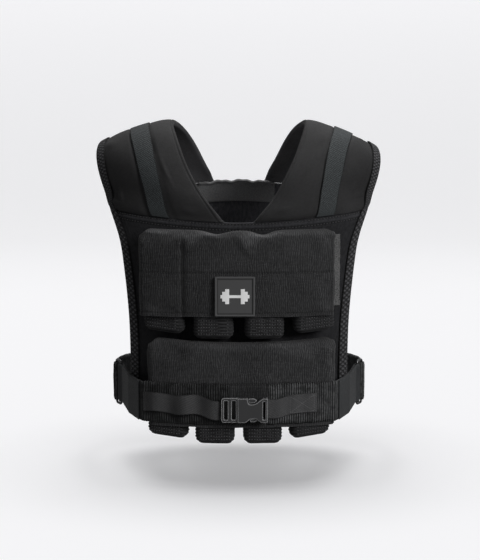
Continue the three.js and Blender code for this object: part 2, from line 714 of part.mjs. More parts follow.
// The front path from the arc where it starts to the last point before the ring, for the right side
function frontPath(startArc) {
  const columns = PANEL_COLUMNS.map((share) => share * LOWER_FLAP_HALF_ARC);
  const arcs = [startArc, ...columns.filter((arc) => arc > startArc + BAND_THICKNESS)];
  const points = arcs.map((arc) => aroundTorso(arc, BELT_OUT));
  points.push(aroundTorso(LOWER_FLAP_HALF_ARC + BAND_THICKNESS, BELT_OUT));
  points.push(aroundTorso(WAIST_ARC + BINDING_WALL + WRAP_GAP, BINDING_OUT));
  return points;
}

const BAND_ENDS = { left: -LEFT_BAND_END_X, right: RIGHT_BAND_END_X };
const ringOutward = new THREE.Vector2(1, -0.55).normalize();
const ringAlong = new THREE.Vector2(-ringOutward.y, ringOutward.x);
const ringCentre = new THREE.Vector2(RING_X, RING_Y);
const frontLeg = ringCentre.clone().addScaledVector(ringAlong, -LEG_OFFSET);
const backLeg = ringCentre.clone().addScaledVector(ringAlong, LEG_OFFSET);
const mirrored = (points, sign) => points.map((point) => new THREE.Vector2(point.x * sign, point.y));

for (const { name, sign } of SIDES) {
  const path = foldRound(frontPath(BAND_ENDS[name]), frontLeg, ringOutward, FRONT_TAIL_LENGTH);
  const strip = uprightStrip(mirrored(path, sign), BAND_THICKNESS, flatCentre, BELT_WIDTH);
  addPiece(`front_belt_${name}`, strip, WEBBING);
}

const backHalf = evenShares(8).map((share) => aroundTorso(share * WAIST_ARC, BINDING_OUT, -1));
backHalf.push(aroundTorso(WAIST_ARC + PADDING, BINDING_OUT, -1));
const BACK_TURN_ARC = HALF_GIRTH / 2 - BACK_TAIL_LENGTH - LEG_OFFSET;
backHalf.push(aroundTorso(BACK_TURN_ARC, BAND_THICKNESS, -1));
const foldedHalf = foldRound(backHalf, backLeg, ringOutward, BACK_TAIL_LENGTH);
const backPath = [...mirrored(foldedHalf, -1).reverse(), ...foldedHalf.slice(1)];
addPiece('back_belt', uprightStrip(backPath, BAND_THICKNESS, flatCentre, BELT_WIDTH), WEBBING);

// Metal loops between the bands: upright rounded rectangles of round wire

const RING_SIDES = 8;
const RING_CORNER = 4;
const ringOutline = roundedRectangle(RING_OPENING + RING_WIRE, RING_HEIGHT + RING_WIRE, RING_CORNER).getPoints(3);
for (const { name, sign } of SIDES) {
  const outline = ringOutline.slice(0, -1);
  const rings = outline.map((point, i) => {
    const before = outline[(i + outline.length - 1) % outline.length];
    const after = outline[(i + 1) % outline.length];
    const along = after.clone().sub(before).normalize();
    return Array.from({ length: RING_SIDES }, (_, k) => {
      const angle = ((k + 0.5) / RING_SIDES) * Math.PI * 2;
      const inPlane = (Math.cos(angle) * RING_WIRE) / 2;
      const out = (Math.sin(angle) * RING_WIRE) / 2;
      const run = point.x + along.y * inPlane;
      const flat = ringCentre.clone().addScaledVector(ringAlong, run).addScaledVector(ringOutward, out);
      return new THREE.Vector3(flat.x * sign, flat.y, BELT_CENTRE + point.y - along.x * inPlane);
    });
  });
  addPiece(`belt_ring_${name}`, skinOver(rings, true), METAL);
}

// Belt webbing: lies on the bands and sinks a little towards the buckle

const WEBBING_OUT = BELT_OUT + (BAND_THICKNESS + WEBBING_THICKNESS) / 2 + LAID_GAP;
const WEBBING_STEPS = 7;
function addBeltWebbing(name, innerX, outerArc, sign) {
  const arcs = evenShares(WEBBING_STEPS).map((share) => innerX + (outerArc - innerX) * share);
  const path = mirrored(arcs.map((arc) => aroundTorso(arc, WEBBING_OUT)), sign);
  const centreAt = (i) => BELT_CENTRE - BUCKLE_DROP * (1 - Math.min((i / WEBBING_STEPS) * 2, 1));
  addPiece(name, uprightStrip(path, WEBBING_THICKNESS, centreAt, WEBBING_WIDTH), WEBBING);
}
const LATCH_BASE_X = BUCKLE_LEFT_X + LATCH_FRAME_LENGTH;
const BUCKLE_RIGHT_X = BUCKLE_LEFT_X + BUCKLE_LENGTH;
addBeltWebbing('webbing_left', -LATCH_BASE_X, LEFT_WEBBING_START_ARC, -1);
addBeltWebbing('webbing_right', BUCKLE_RIGHT_X - WEBBING_WIDTH / 3, RIGHT_WEBBING_END_ARC, 1);

// Side-release buckle: the latch's two prongs lie in the receiver, and show in its side notches

const BUCKLE_Z = BELT_CENTRE - BUCKLE_DROP;
const webbingEnd = aroundTorso(BUCKLE_RIGHT_X - WEBBING_WIDTH / 3, WEBBING_OUT + WEBBING_THICKNESS / 2);
const BUCKLE_BACK_Y = webbingEnd.y - LAID_GAP;
const LATCH_BACK_Y = BUCKLE_BACK_Y - (BUCKLE_THICKNESS - LATCH_THICKNESS) / 2;
const RECEIVER_LENGTH = BUCKLE_LENGTH - LATCH_FRAME_LENGTH - LAID_GAP;
const BUCKLE_CORNER = 4;
const SLOT_WIDTH = 4.6;
const BAR_WIDTH = 4.2;
const FRAME_WALL = 3.2;
const BUCKLE_BEVEL = 1;

function boxSolid(x0, x1, y0, y1, z0, z1) {
  const geometry = new THREE.BoxGeometry(x1 - x0, y1 - y0, z1 - z0);
  return toSolid(geometry.translate((x0 + x1) / 2, (y0 + y1) / 2, (z0 + z1) / 2));
}

const frameShape = roundedRectangle(LATCH_FRAME_LENGTH, BUCKLE_HEIGHT, BUCKLE_CORNER);
const slotHeight = BUCKLE_HEIGHT - 2 * FRAME_WALL;
const frameX = BUCKLE_LEFT_X + LATCH_FRAME_LENGTH / 2;
let latch = toSolid(facingFront(frameShape, LATCH_THICKNESS, frameX, LATCH_BACK_Y, BUCKLE_Z, BUCKLE_BEVEL));
for (const start of [FRAME_WALL, FRAME_WALL + SLOT_WIDTH + BAR_WIDTH]) {
  const slotX = BUCKLE_LEFT_X + start;
  const front = LATCH_BACK_Y - LATCH_THICKNESS - 1;
  const [low, high] = [BUCKLE_Z - slotHeight / 2, BUCKLE_Z + slotHeight / 2];
  latch = latch.subtract(boxSolid(slotX, slotX + SLOT_WIDTH, front, LATCH_BACK_Y + 1, low, high));
}

// One prong: a slim arm from the frame, with a barbed head that fills the notch
const PRONG_LENGTH = 25;
const PRONG_HEAD = 10;
const ARM_HEIGHT = 4;
const BARB = 2.6;
function prongShape(grow) {
  const edge = BUCKLE_HEIGHT / 2 - BARB - 0.6;
  const shape = new THREE.Shape();
  shape.moveTo(-2, edge - ARM_HEIGHT - grow);
  shape.lineTo(PRONG_LENGTH - PRONG_HEAD, edge - ARM_HEIGHT - grow);
  shape.lineTo(PRONG_LENGTH + grow, edge - ARM_HEIGHT * 0.7 - grow);
  shape.lineTo(PRONG_LENGTH + grow, edge + BARB * 0.3 + grow);
  shape.lineTo(PRONG_LENGTH - PRONG_HEAD * 0.4, edge + BARB + grow);
  shape.lineTo(PRONG_LENGTH - PRONG_HEAD, edge + BARB + grow);
  shape.lineTo(PRONG_LENGTH - PRONG_HEAD, edge + grow);
  shape.lineTo(-2, edge + grow);
  return shape;
}

function prongSolid(upDown, grow) {
  const backY = LATCH_BACK_Y + grow;
  const geometry = facingFront(prongShape(grow), LATCH_THICKNESS + 2 * grow, LATCH_BASE_X, backY, 0);
  const solid = toSolid(geometry);
  const placed = upDown > 0 ? solid : solid.mirror([0, 0, 1]);
  return placed.translate([0, 0, BUCKLE_Z]);
}

const receiverX = BUCKLE_RIGHT_X - RECEIVER_LENGTH / 2;
const receiverShape = roundedRectangle(RECEIVER_LENGTH, BUCKLE_HEIGHT, BUCKLE_CORNER);
const receiverPlate = facingFront(
  receiverShape, BUCKLE_THICKNESS, receiverX, BUCKLE_BACK_Y, BUCKLE_Z, BUCKLE_BEVEL,
);
let receiver = toSolid(receiverPlate);
const NOTCH_DEPTH = 4;
const notchStart = LATCH_BASE_X + PRONG_LENGTH - PRONG_HEAD - LAID_GAP;
for (const upDown of [1, -1]) {
  latch = latch.add(prongSolid(upDown, 0));
  receiver = receiver.subtract(prongSolid(upDown, LAID_GAP));
  const rimZ = BUCKLE_Z + (upDown * BUCKLE_HEIGHT) / 2;
  const [low, high] = [rimZ - NOTCH_DEPTH, rimZ + NOTCH_DEPTH];
  const notchEnd = notchStart + PRONG_HEAD + 2;
  receiver = receiver.subtract(
    boxSolid(notchStart, notchEnd, BUCKLE_BACK_Y - BUCKLE_THICKNESS - 1, BUCKLE_BACK_Y + 1, low, high),
  );
}
const slotEnd = BUCKLE_RIGHT_X - FRAME_WALL;
receiver = receiver.subtract(
  boxSolid(
    slotEnd - SLOT_WIDTH * 0.7, slotEnd,
    BUCKLE_BACK_Y - BUCKLE_THICKNESS - 1, BUCKLE_BACK_Y + 1,
    BUCKLE_Z - slotHeight / 2, BUCKLE_Z + slotHeight / 2,
  ),
);
addPiece('buckle_latch', toGeometry(latch), PLASTIC);
addPiece('buckle_receiver', toGeometry(receiver), PLASTIC);

export default vest;
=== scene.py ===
import math
from bisect import bisect_left

import bmesh
import bpy
from mathutils import Matrix, Vector, noise


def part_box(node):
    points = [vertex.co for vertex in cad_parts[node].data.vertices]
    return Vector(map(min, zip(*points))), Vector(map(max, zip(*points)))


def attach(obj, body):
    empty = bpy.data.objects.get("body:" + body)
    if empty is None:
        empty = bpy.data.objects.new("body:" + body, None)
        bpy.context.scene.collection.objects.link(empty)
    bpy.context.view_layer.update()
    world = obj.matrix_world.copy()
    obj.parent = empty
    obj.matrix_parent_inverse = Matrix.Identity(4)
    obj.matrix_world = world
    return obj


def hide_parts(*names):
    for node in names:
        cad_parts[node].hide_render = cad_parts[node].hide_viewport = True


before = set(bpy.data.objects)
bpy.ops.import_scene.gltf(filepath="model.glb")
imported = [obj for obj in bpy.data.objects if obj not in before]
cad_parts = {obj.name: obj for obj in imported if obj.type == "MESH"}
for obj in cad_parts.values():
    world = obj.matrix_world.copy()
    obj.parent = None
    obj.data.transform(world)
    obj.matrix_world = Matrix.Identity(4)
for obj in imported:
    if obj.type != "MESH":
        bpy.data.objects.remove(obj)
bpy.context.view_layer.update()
scene = bpy.context.scene

# Front and back panels. Padded cloth over foam, the stiff base that everything is sewn to. Like the flaps
# and pouches they are cut flat and bent round the oval plan of the torso, so a place on them is a length
# round the body, a height, and how far it stands out.
torso_half_width = 0.172
torso_half_depth = 0.098
torso_roundness = 2.25
plan_steps = 400
padding = 0.008
panel_half_width = 0.133
panel_bottom = -0.365
panel_widths = [(0, 1.19), (0.127, 1.106), (0.215, 1.071), (0.49, 1.015), (0.7, 1.0), (1, 1.0)]
seam_bend = 1.6
# The last entry gives the strength of a painted highlight just under the panel's strap seam; the back panel
# has none.
front = {"facing": 1, "seam_centre": -0.118, "seam_side": -0.105, "rubbed_and_painted_light": 0.9}
back = {"facing": -1, "seam_centre": -0.079, "seam_side": -0.095, "rubbed_and_painted_light": 0}
panel_flat = (0.31, 0.255)
panel_unevenness = 0.0012
# Two rows of stitches below the strap seam, and the fold of cloth that swells between them
chest_rows = (0.0022, 0.0092)
stitch_sink = 0.0009
fold_between = 0.0057
fold_swell = 0.0006
# Painted light on the linings: how much lighter they are drawn than the face
panel_lining_painted_light = 3.0


def plan_point(turn):
    angle = turn * math.pi
    power = 2 / torso_roundness
    forward = math.cos(angle)
    x = torso_half_width * abs(math.sin(angle)) ** power
    y = -torso_half_depth * math.copysign(abs(forward) ** power, forward)
    return Vector((x, y))


plan = [plan_point(i / plan_steps) for i in range(plan_steps + 1)]
plan_arc = [0.0]
for i in range(plan_steps):
    plan_arc.append(plan_arc[-1] + (plan[i + 1] - plan[i]).length)
half_girth = plan_arc[-1]


def plan_normal(point):
    power = torso_roundness - 1
    across = math.copysign(abs(point.x) ** power, point.x) / torso_half_width**torso_roundness
    deep = math.copysign(abs(point.y) ** power, point.y) / torso_half_depth**torso_roundness
    return Vector((across, deep)).normalized()


def around_torso(arc, out, facing=1):
    length = min(abs(arc), half_girth * 0.999)
    i = max(bisect_left(plan_arc, length), 1)
    share = (length - plan_arc[i - 1]) / (plan_arc[i] - plan_arc[i - 1])
    point = plan[i - 1].lerp(plan[i], share)
    point += plan_normal(point) * out
    return Vector((math.copysign(point.x, arc), point.y * facing))


def arc_at_width(x):
    i = 1
    while i < plan_steps // 2 and plan[i].x < x:
        i += 1
    share = (x - plan[i - 1].x) / (plan[i].x - plan[i - 1].x)
    return plan_arc[i - 1] + min(share, 1) * (plan_arc[i] - plan_arc[i - 1])


def hump(value, centre, width):
    return math.exp(-(((value - centre) / width) ** 2))


def smooth_row(rows, at):
    """A smooth value between rows of (place, value)."""
    i = 0
    while i < len(rows) - 2 and rows[i + 1][0] < at:
        i += 1
    x0, y0 = rows[i]
    x1, y1 = rows[i + 1]
    before = rows[max(i - 1, 0)]
    after = rows[min(i + 2, len(rows) - 1)]
    slope0 = (y1 - before[1]) / max(x1 - before[0], 1e-9)
    slope1 = (after[1] - y0) / max(after[0] - x0, 1e-9)
    t = min(max((at - x0) / (x1 - x0), 0), 1)
    span = x1 - x0
    value = (2 * t**3 - 3 * t**2 + 1) * y0 + (t**3 - 2 * t**2 + t) * span * slope0
    return value + (3 * t**2 - 2 * t**3) * y1 + (t**3 - t**2) * span * slope1


def panel_half_arc(panel, z):
    down = (panel["seam_side"] - z) / (panel["seam_side"] - panel_bottom)
    return arc_at_width(panel_half_width * smooth_row(panel_widths, max(down, 0)))


def seam_height(panel, share):
    rise = panel["seam_side"] - panel["seam_centre"]
    return panel["seam_centre"] + rise * abs(share) ** seam_bend


def on_panel(panel, across, down, out):
    top = seam_height(panel, across)
    z = top + (panel_bottom - top) * down
    flat = around_torso(across * panel_half_arc(panel, z), out, panel["facing"])
    return Vector((flat.x, flat.y, z))


def panel_place(panel):
    def place(u, v, out):
        down = (1 - v) / 2
        if out > padding / 2:
            out += panel_unevenness * noise.noise(Vector((u * 2.2, v * 2.4, panel["facing"] * 3.0)))
            below = (seam_height(panel, u) - panel_bottom) * down
            out -= stitch_sink * sum(hump(below, row, 0.0013) for row in chest_rows)
            out += fold_swell * hump(below, fold_between, 0.0022)
        return on_panel(panel, u, down, out)

    return place


# Painted light on the panels: painted shade darkens the two stitch rows under the strap seam, a painted
# highlight lightens the strip just under the front panel's seam, and the linings are painted lighter.
def panel_painted_light(panel):
    def painted_light(u, v, side):
        if side < 0:
            return panel_lining_painted_light
        below = (seam_height(panel, u) - panel_bottom) * (1 - v) / 2
        painted_seam_shade = 0.95 * sum(hump(below, row, 0.0015) for row in chest_rows)
        return panel["rubbed_and_painted_light"] * hump(below, 0.004, 0.006) - painted_seam_shade

    return painted_light


def finish_mesh(name, bm, material):
    mesh = bpy.data.meshes.new(name)
    bm.to_mesh(mesh)
    bm.free()
    piece = bpy.data.objects.new(name, mesh)
    scene.collection.objects.link(piece)
    mesh.materials.append(material)
    mesh.polygons.foreach_set("use_smooth", [True] * len(mesh.polygons))
    return piece


def edge_round(distance, radius):
    """1 inside the sheet, falling to 0 at its edge along a quarter circle."""
    if distance >= radius:
        return 1.0
    return math.sqrt(max(1 - (1 - distance / radius) ** 2, 0))


def bent_sheet(name, material, cells, size, thickness, place, gather=(1.0, 1.0), radii=None, painted_light=None):
    """A flat grid with two faces whose edges are rounded together, bent into place point by point.

    size is the flat width and length, kept in metres by the UV map for the weave. place(u, v, out) gives
    the point for shares u and v from -1 to 1 and a height over the sheet's back. gather crowds the grid
    lines to the edges, and radii are the edge roundings of the sides and of the ends. The last argument
    gives painted light for (u, v, side): above 0 a painted highlight lightens the cloth, below 0 painted
    shade darkens it.
    """
    bm = bmesh.new()
    uv_layer = bm.loops.layers.uv.new("flat")
    painted_light_layer = bm.verts.layers.float.new("painted_light")
    bmesh.ops.create_grid(bm, x_segments=cells[0], y_segments=cells[1], size=1)
    front_set = set(bm.verts)
    copied = bmesh.ops.duplicate(bm, geom=bm.verts[:] + bm.edges[:] + bm.faces[:])
    back_faces = [item for item in copied["geom"] if isinstance(item, bmesh.types.BMFace)]
    bmesh.ops.reverse_faces(bm, faces=back_faces)
    side_radius, end_radius = radii or (thickness / 2, thickness / 2)
    flat = {}
    for vert in bm.verts:
        u, v = [math.sin(c * math.pi / 2) * g + c * (1 - g) for c, g in zip(vert.co.xy, gather)]
        from_side = (1 - abs(u)) * size[0] / 2
        from_end = (1 - abs(v)) * size[1] / 2
        fullness = min(edge_round(from_side, side_radius), edge_round(from_end, end_radius))
        side = 1 if vert in front_set else -1
        flat[vert] = (u * size[0] / 2, v * size[1] / 2)
        vert.co = place(u, v, thickness / 2 * (1 + side * fullness))
        if painted_light:
            vert[painted_light_layer] = painted_light(u, v, side)
    for face in bm.faces:
        for loop in face.loops:
            loop[uv_layer].uv = flat[loop.vert]
    bmesh.ops.remove_doubles(bm, verts=bm.verts[:], dist=1e-6)
    bmesh.ops.recalc_face_normals(bm, faces=bm.faces[:])
    if bm.calc_volume(signed=True) < 0:
        bmesh.ops.reverse_faces(bm, faces=bm.faces[:])
    return finish_mesh(name, bm, material)


# Black dyed cloth is never one flat black: the yarns catch light on their crowns, lint lies in the weave,
# and faded patches are greyer. Lighter folds and edges are painted highlights, and darker seams are painted
# shade.
def group_with(name, inputs, outputs):
    group = bpy.data.node_groups.new(name, "ShaderNodeTree")
    for socket_name, socket_type, value in inputs:
        socket = group.interface.new_socket(socket_name, in_out="INPUT", socket_type=socket_type)
        if value is not None:
            socket.default_value = value
    for socket_name, socket_type in outputs:
        group.interface.new_socket(socket_name, in_out="OUTPUT", socket_type=socket_type)
    return group, group.nodes.new("NodeGroupInput").outputs, group.nodes.new("NodeGroupOutput").inputs


def math_node(tree, operation, *values, clamp=False):
    node = tree.nodes.new("ShaderNodeMath")
    node.operation = operation
    node.use_clamp = clamp
    for socket, value in zip(node.inputs, values):
        if isinstance(value, (int, float)):
            socket.default_value = value
        else:
            tree.links.new(value, socket)
    return node.outputs[0]


def noise_node(tree, vector, scale, detail=2, stretch=None):
    if stretch:
        mapping = tree.nodes.new("ShaderNodeMapping")
        mapping.inputs["Scale"].default_value = stretch
        tree.links.new(vector, mapping.inputs["Vector"])
        vector = mapping.outputs["Vector"]
    node = tree.nodes.new("ShaderNodeTexNoise")
    node.inputs["Scale"].default_value = scale
    node.inputs["Detail"].default_value = detail
    tree.links.new(vector, node.inputs["Vector"])
    return node.outputs["Fac"]


def make_woven_yarns():
    """Height and shade of crossed yarns of given pitches in metres, leaning by the slant."""
    group, given, result = group_with(
        "woven_yarns",
        [
            ("Vector", "NodeSocketVector", None),
            ("Pitch across", "NodeSocketFloat", 0.0012),
            ("Pitch along", "NodeSocketFloat", 0.0012),
            ("Slant", "NodeSocketFloat", 0.0),
            ("Unevenness", "NodeSocketFloat", 0.3),
        ],
        [("Height", "NodeSocketFloat"), ("Shade", "NodeSocketFloat")],
    )
    split = group.nodes.new("ShaderNodeSeparateXYZ")
    group.links.new(given["Vector"], split.inputs[0])
    drift = math_node(group, "MULTIPLY", noise_node(group, given["Vector"], 90), given["Unevenness"])
    lean_x = math_node(group, "MULTIPLY_ADD", split.outputs["Y"], given["Slant"], split.outputs["X"])
    backward = math_node(group, "MULTIPLY", given["Slant"], -1.0)
    lean_y = math_node(group, "MULTIPLY_ADD", split.outputs["X"], backward, split.outputs["Y"])
    crowns = []
    for lean, pitch in ((lean_x, "Pitch across"), (lean_y, "Pitch along")):
        turns = math_node(group, "ADD", math_node(group, "DIVIDE", lean, given[pitch]), drift)
        wave = math_node(group, "SINE", math_node(group, "MULTIPLY", turns, math.tau))
        crowns.append(math_node(group, "MULTIPLY_ADD", wave, 0.5, 0.5))
    fibre = noise_node(group, given["Vector"], 1400, 1)
    high = math_node(group, "MAXIMUM", *crowns)
    group.links.new(math_node(group, "MULTIPLY_ADD", fibre, 0.5, high), result["Height"])
    crossing = math_node(group, "MULTIPLY", *crowns)
    group.links.new(math_node(group, "MULTIPLY_ADD", fibre, 0.35, crossing), result["Shade"])
    return group


def make_lint_and_fading():
    """A mask of lint specks and of faded, rubbed patches over object coordinates."""
    group, given, result = group_with(
        "lint_and_fading",
        [("Vector", "NodeSocketVector", None), ("Amount", "NodeSocketFloat", 0.5)],
        [("Mask", "NodeSocketFloat")],
    )
    broad = noise_node(group, given["Vector"], 22, 4)
    fine = noise_node(group, given["Vector"], 520, 2)
    specks = math_node(group, "GREATER_THAN", fine, 0.69)
    patches = math_node(group, "SUBTRACT", broad, 0.38, clamp=True)
    both = math_node(group, "MULTIPLY_ADD", specks, 0.25, patches)
    group.links.new(math_node(group, "MULTIPLY", both, given["Amount"], clamp=True), result["Mask"])
    return group


woven_yarns = make_woven_yarns()
lint_and_fading = make_lint_and_fading()


def mix_colours(tree, first, second, factor):
    node = tree.nodes.new("ShaderNodeMix")
    node.data_type = "RGBA"
    for socket, value in ((node.inputs["A"], first), (node.inputs["B"], second)):
        if isinstance(value, tuple):
            socket.default_value = (*value, 1)
        else:
            tree.links.new(value, socket)
    tree.links.new(factor, node.inputs["Factor"])
    return node.outputs["Result"]


def new_material(name):
    material = bpy.data.materials.new(name)
    material.use_nodes = True
    tree = material.node_tree
    shader = tree.nodes["Principled BSDF"].inputs
    return material, tree, shader, tree.nodes.new("ShaderNodeTexCoord").outputs


def use_group(tree, group, vector, **settings):
    node = tree.nodes.new("ShaderNodeGroup")
    node.node_tree = group
    tree.links.new(vector, node.inputs["Vector"])
    for key, value in settings.items():
        node.inputs[key.replace("_", " ")].default_value = value
    return node.outputs


def add_relief(tree, shader, height, distance, strength=1.0):
    relief = tree.nodes.new("ShaderNodeBump")
    relief.inputs["Strength"].default_value = strength
    relief.inputs["Distance"].default_value = distance
    tree.links.new(height, relief.inputs["Height"])
    tree.links.new(relief.outputs["Normal"], shader["Normal"])


def with_painted_light(tree, colour):
    """The colour made lighter by painted highlights and darker by painted shade, from the mesh's painted
    light attribute.
    """
    painted_light = tree.nodes.new("ShaderNodeAttribute")
    painted_light.attribute_name = "painted_light"
    share = math_node(tree, "MAXIMUM", math_node(tree, "ADD", painted_light.outputs["Fac"], 1.0), 0.04)
    node = tree.nodes.new("ShaderNodeMix")
    node.data_type = "RGBA"
    node.blend_type = "MULTIPLY"
    node.inputs["Factor"].default_value = 1
    tree.links.new(colour, node.inputs["A"])
    tree.links.new(share, node.inputs["B"])
    return node.outputs["Result"]


def cloth_material(name, dark, light, roughness, pitch, bump, slant=0.0, uneven=0.3, sheen=0.03, lint=0.4,
                   flat_map=True, grain=(420, 0.35, (1, 1, 1)), gloss=0.15):
    """pitch is the yarns' spacing each way; grain is the scale, strength and stretch of the uneven dye."""
    material, tree, shader, place = new_material(name)
    vector = place["UV"] if flat_map else place["Object"]
    weave = use_group(tree, woven_yarns, vector, Pitch_across=pitch[0], Pitch_along=pitch[1],
                      Slant=slant, Unevenness=uneven)
    dust = use_group(tree, lint_and_fading, place["Object"], Amount=lint)["Mask"]
    mottle = noise_node(tree, vector, grain[0], 3, stretch=grain[2])
    strength = math_node(tree, "MULTIPLY_ADD", mottle, grain[1] * 5, 1 - grain[1] * 2.5)
    shade = math_node(tree, "MULTIPLY", weave["Shade"], math_node(tree, "MAXIMUM", strength, 0.05))
    yarn_colour = mix_colours(tree, dark, light, shade)
    rubbed_and_painted_light = tuple(channel * 1.7 for channel in light)
    tree.links.new(with_painted_light(tree, mix_colours(tree, yarn_colour, rubbed_and_painted_light, dust)), shader["Base Color"])
    tree.links.new(math_node(tree, "MULTIPLY_ADD", shade, -0.12, roughness), shader["Roughness"])
    height = math_node(tree, "MULTIPLY_ADD", mottle, grain[1] * 1.5, weave["Height"])
    add_relief(tree, shader, height, bump)
    shader["Sheen Weight"].default_value = sheen
    shader["Sheen Roughness"].default_value = 0.5
    shader["Specular IOR Level"].default_value = gloss
    return material


panel_cloth = cloth_material("panel_cloth", (0.0035, 0.0035, 0.0042), (0.0265, 0.0265, 0.0288), 0.95,
                             (0.0016, 0.0011), 0.0003, uneven=0.5, grain=(330, 0.5, (1, 0.5, 1)))


def thread_material(name, colour):
    material, tree, shader, place = new_material(name)
    twist = noise_node(tree, place["Object"], 2500, 1)
    shaded = tuple(channel * 0.15 for channel in colour)
    tree.links.new(mix_colours(tree, shaded, colour, twist), shader["Base Color"])
    shader["Roughness"].default_value = 0.7
    shader["Specular IOR Level"].default_value = 0.2
    return material


light_thread = thread_material("light_thread", (0.17, 0.17, 0.175))
chest_thread = thread_material("chest_thread", (0.085, 0.085, 0.088))
dark_thread = thread_material("dark_thread", (0.07, 0.07, 0.072))


def seam_line(point_at, steps=160):
    """Points and outward directions along a seam; point_at(share, out) gives a point over the cloth."""
    rows = []
    for i in range(steps + 1):
        point = point_at(i / steps, 0)
        rows.append((point, (point_at(i / steps, 0.002) - point).normalized()))
    return rows


def sew(name, seams, pitch=0.0042, length=0.0030, width=0.0011, thread=light_thread):
    """Rows of short lens-shaped stitches that sink into the cloth at both ends."""
    bm = bmesh.new()
    for rows in seams:
        row_bm = bmesh.new()
        walked = 0.0
        due = pitch / 2
        for (start, up), (end, _) in zip(rows, rows[1:]):
            run = (end - start).length
            while run and due <= walked + run:
                along = (end - start) / run
                centre = start.lerp(end, (due - walked) / run)
                side = up.cross(along).normalized()
                turned = Matrix((along * length / 2, side * width / 2, up * width / 2))
                turned = turned.transposed().to_4x4()
                turned.translation = centre
                bmesh.ops.create_uvsphere(row_bm, u_segments=6, v_segments=5, radius=1, matrix=turned)
                due += pitch
            walked += run
        row_mesh = bpy.data.meshes.new("row")
        row_bm.to_mesh(row_mesh)
        row_bm.free()
        bm.from_mesh(row_mesh)
        bpy.data.meshes.remove(row_mesh)
    piece = finish_mesh(name, bm, thread)
    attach(piece, "root")


for name, panel in (("front_panel", front), ("back_panel", back)):
    piece = bent_sheet(name + "_cloth", panel_cloth, (90, 130), panel_flat, padding, panel_place(panel),
                       radii=(padding / 2, 0.001), painted_light=panel_painted_light(panel))
    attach(piece, "root")
    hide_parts(name)
    seams = []
    for row in chest_rows:
        def seam_point(share, out):
            across = (share * 2 - 1) * 0.95
            down = row / (seam_height(panel, across) - panel_bottom)
            return on_panel(panel, across, down, padding - 0.0005 + out)

        seams.append(seam_line(seam_point))
    sew(name + "_top_stitches", seams, thread=chest_thread)


# Shoulder straps. Wide padded yokes of smooth cloth, sewn to both panels and curved over the shoulder;
# each is lofted through sections from the chest seam to the back seam, and rests softly on the body.
shoulder_half_width = 0.179
shoulder_slope = 0.029
strap_arch = 0.018
strap_rise = 0.007
strap_flare = 0.007
front_neck_half_width = 0.018
back_neck_half_width = 0.034
laid_gap = 0.0004
# neck wide, neck out, neck drop, arm wide, arm out, arm drop, share of the arch
front_stations = [
    (0.229, 0.92, 0.8, 0.924, 0.345, 0.73, 1.0),
    (0.3125, 0.81, 0.6, 0.965, 0.335, 0.55, 0.833),
    (0.39, 0.64, 0.385, 0.993, 0.275, 0.39, 0.667),
    (0.453, 0.36, 0.14, 0.998, 0.155, 0.285, 0.5),
]
crown_station = (0.486, 0, 0, 0.984, 0, 0, 0.32)
back_stations = [
    (0.408, 0.34, 0.11, 0.998, 0.155, 0.46, 0.5),
    (0.341, 0.6, 0.34, 0.993, 0.275, 0.63, 0.611),
    (0.285, 0.79, 0.6, 0.965, 0.335, 0.83, 0.722),
    (0.236, 0.92, 0.82, 0.924, 0.345, 1.0, 0.944),
]


def seam_section(panel, neck_half_width, rise, flare):
    neck_arc = arc_at_width(neck_half_width)
    seam_arc = panel_half_arc(panel, panel["seam_side"])
    side_arc = seam_arc + flare

    def section(across):
        arc = neck_arc + (side_arc - neck_arc) * across
        flat = around_torso(arc, 0, panel["facing"])
        z = seam_height(panel, min(arc / seam_arc, 1)) + laid_gap + rise
        return Vector((flat.x, flat.y, z))

    return section


def crowned_section(row, facing, seam_drop):
    neck_wide, neck_out, neck_drop, arm_wide, arm_out, arm_drop, crown = row
    depth = -(facing or 1) * torso_half_depth
    slope = shoulder_slope if facing == 0 else 0
    neck = Vector((neck_wide * shoulder_half_width, neck_out * depth, neck_drop * seam_drop))
    arm = Vector((arm_wide * shoulder_half_width, arm_out * depth, arm_drop * seam_drop - slope))
    middle = (neck + arm) / 2
    bulge = Vector((0.25, middle.y / torso_half_depth, 0.45)) if facing else Vector((0, 0, 1))
    bulge.normalize()

    def section(across):
        return neck.lerp(arm, across) + bulge * crown * strap_arch * 4 * across * (1 - across)

    return section


strap_sections = [
    seam_section(front, front_neck_half_width, 0, 0),
    seam_section(front, front_neck_half_width + strap_rise, strap_rise, strap_flare),
    *[crowned_section(row, 1, front["seam_centre"]) for row in front_stations],
    crowned_section(crown_station, 0, 0),
    *[crowned_section(row, -1, back["seam_centre"]) for row in back_stations],
    seam_section(back, back_neck_half_width + strap_rise / 2, strap_rise, strap_flare),
    seam_section(back, back_neck_half_width, 0, 0),
]
strap_spans = len(strap_sections) - 1


def strap_curve(along, across):
    """A centripetal curve through the sections, on the right side."""
    place = min(max(along, 0), 1) * strap_spans
    i = min(int(place), strap_spans - 1)
    t = place - i
    p1, p2 = strap_sections[i](across), strap_sections[i + 1](across)
    p0 = strap_sections[i - 1](across) if i > 0 else p1 * 2 - p2
    p3 = strap_sections[i + 2](across) if i + 2 <= strap_spans else p2 * 2 - p1
    d0, d1, d2 = [max((b - a).length ** 0.5, 1e-6) for a, b in ((p0, p1), (p1, p2), (p2, p3))]
    slope1 = ((p1 - p0) / d0 - (p2 - p0) / (d0 + d1) + (p2 - p1) / d1) * d1
    slope2 = ((p2 - p1) / d1 - (p3 - p1) / (d1 + d2) + (p3 - p2) / d2) * d1
    return (
        p1 * (2 * t**3 - 3 * t**2 + 1)
        + slope1 * (t**3 - 2 * t**2 + t)
        + p2 * (3 * t**2 - 2 * t**3)
        + slope2 * (t**3 - t**2)
    )


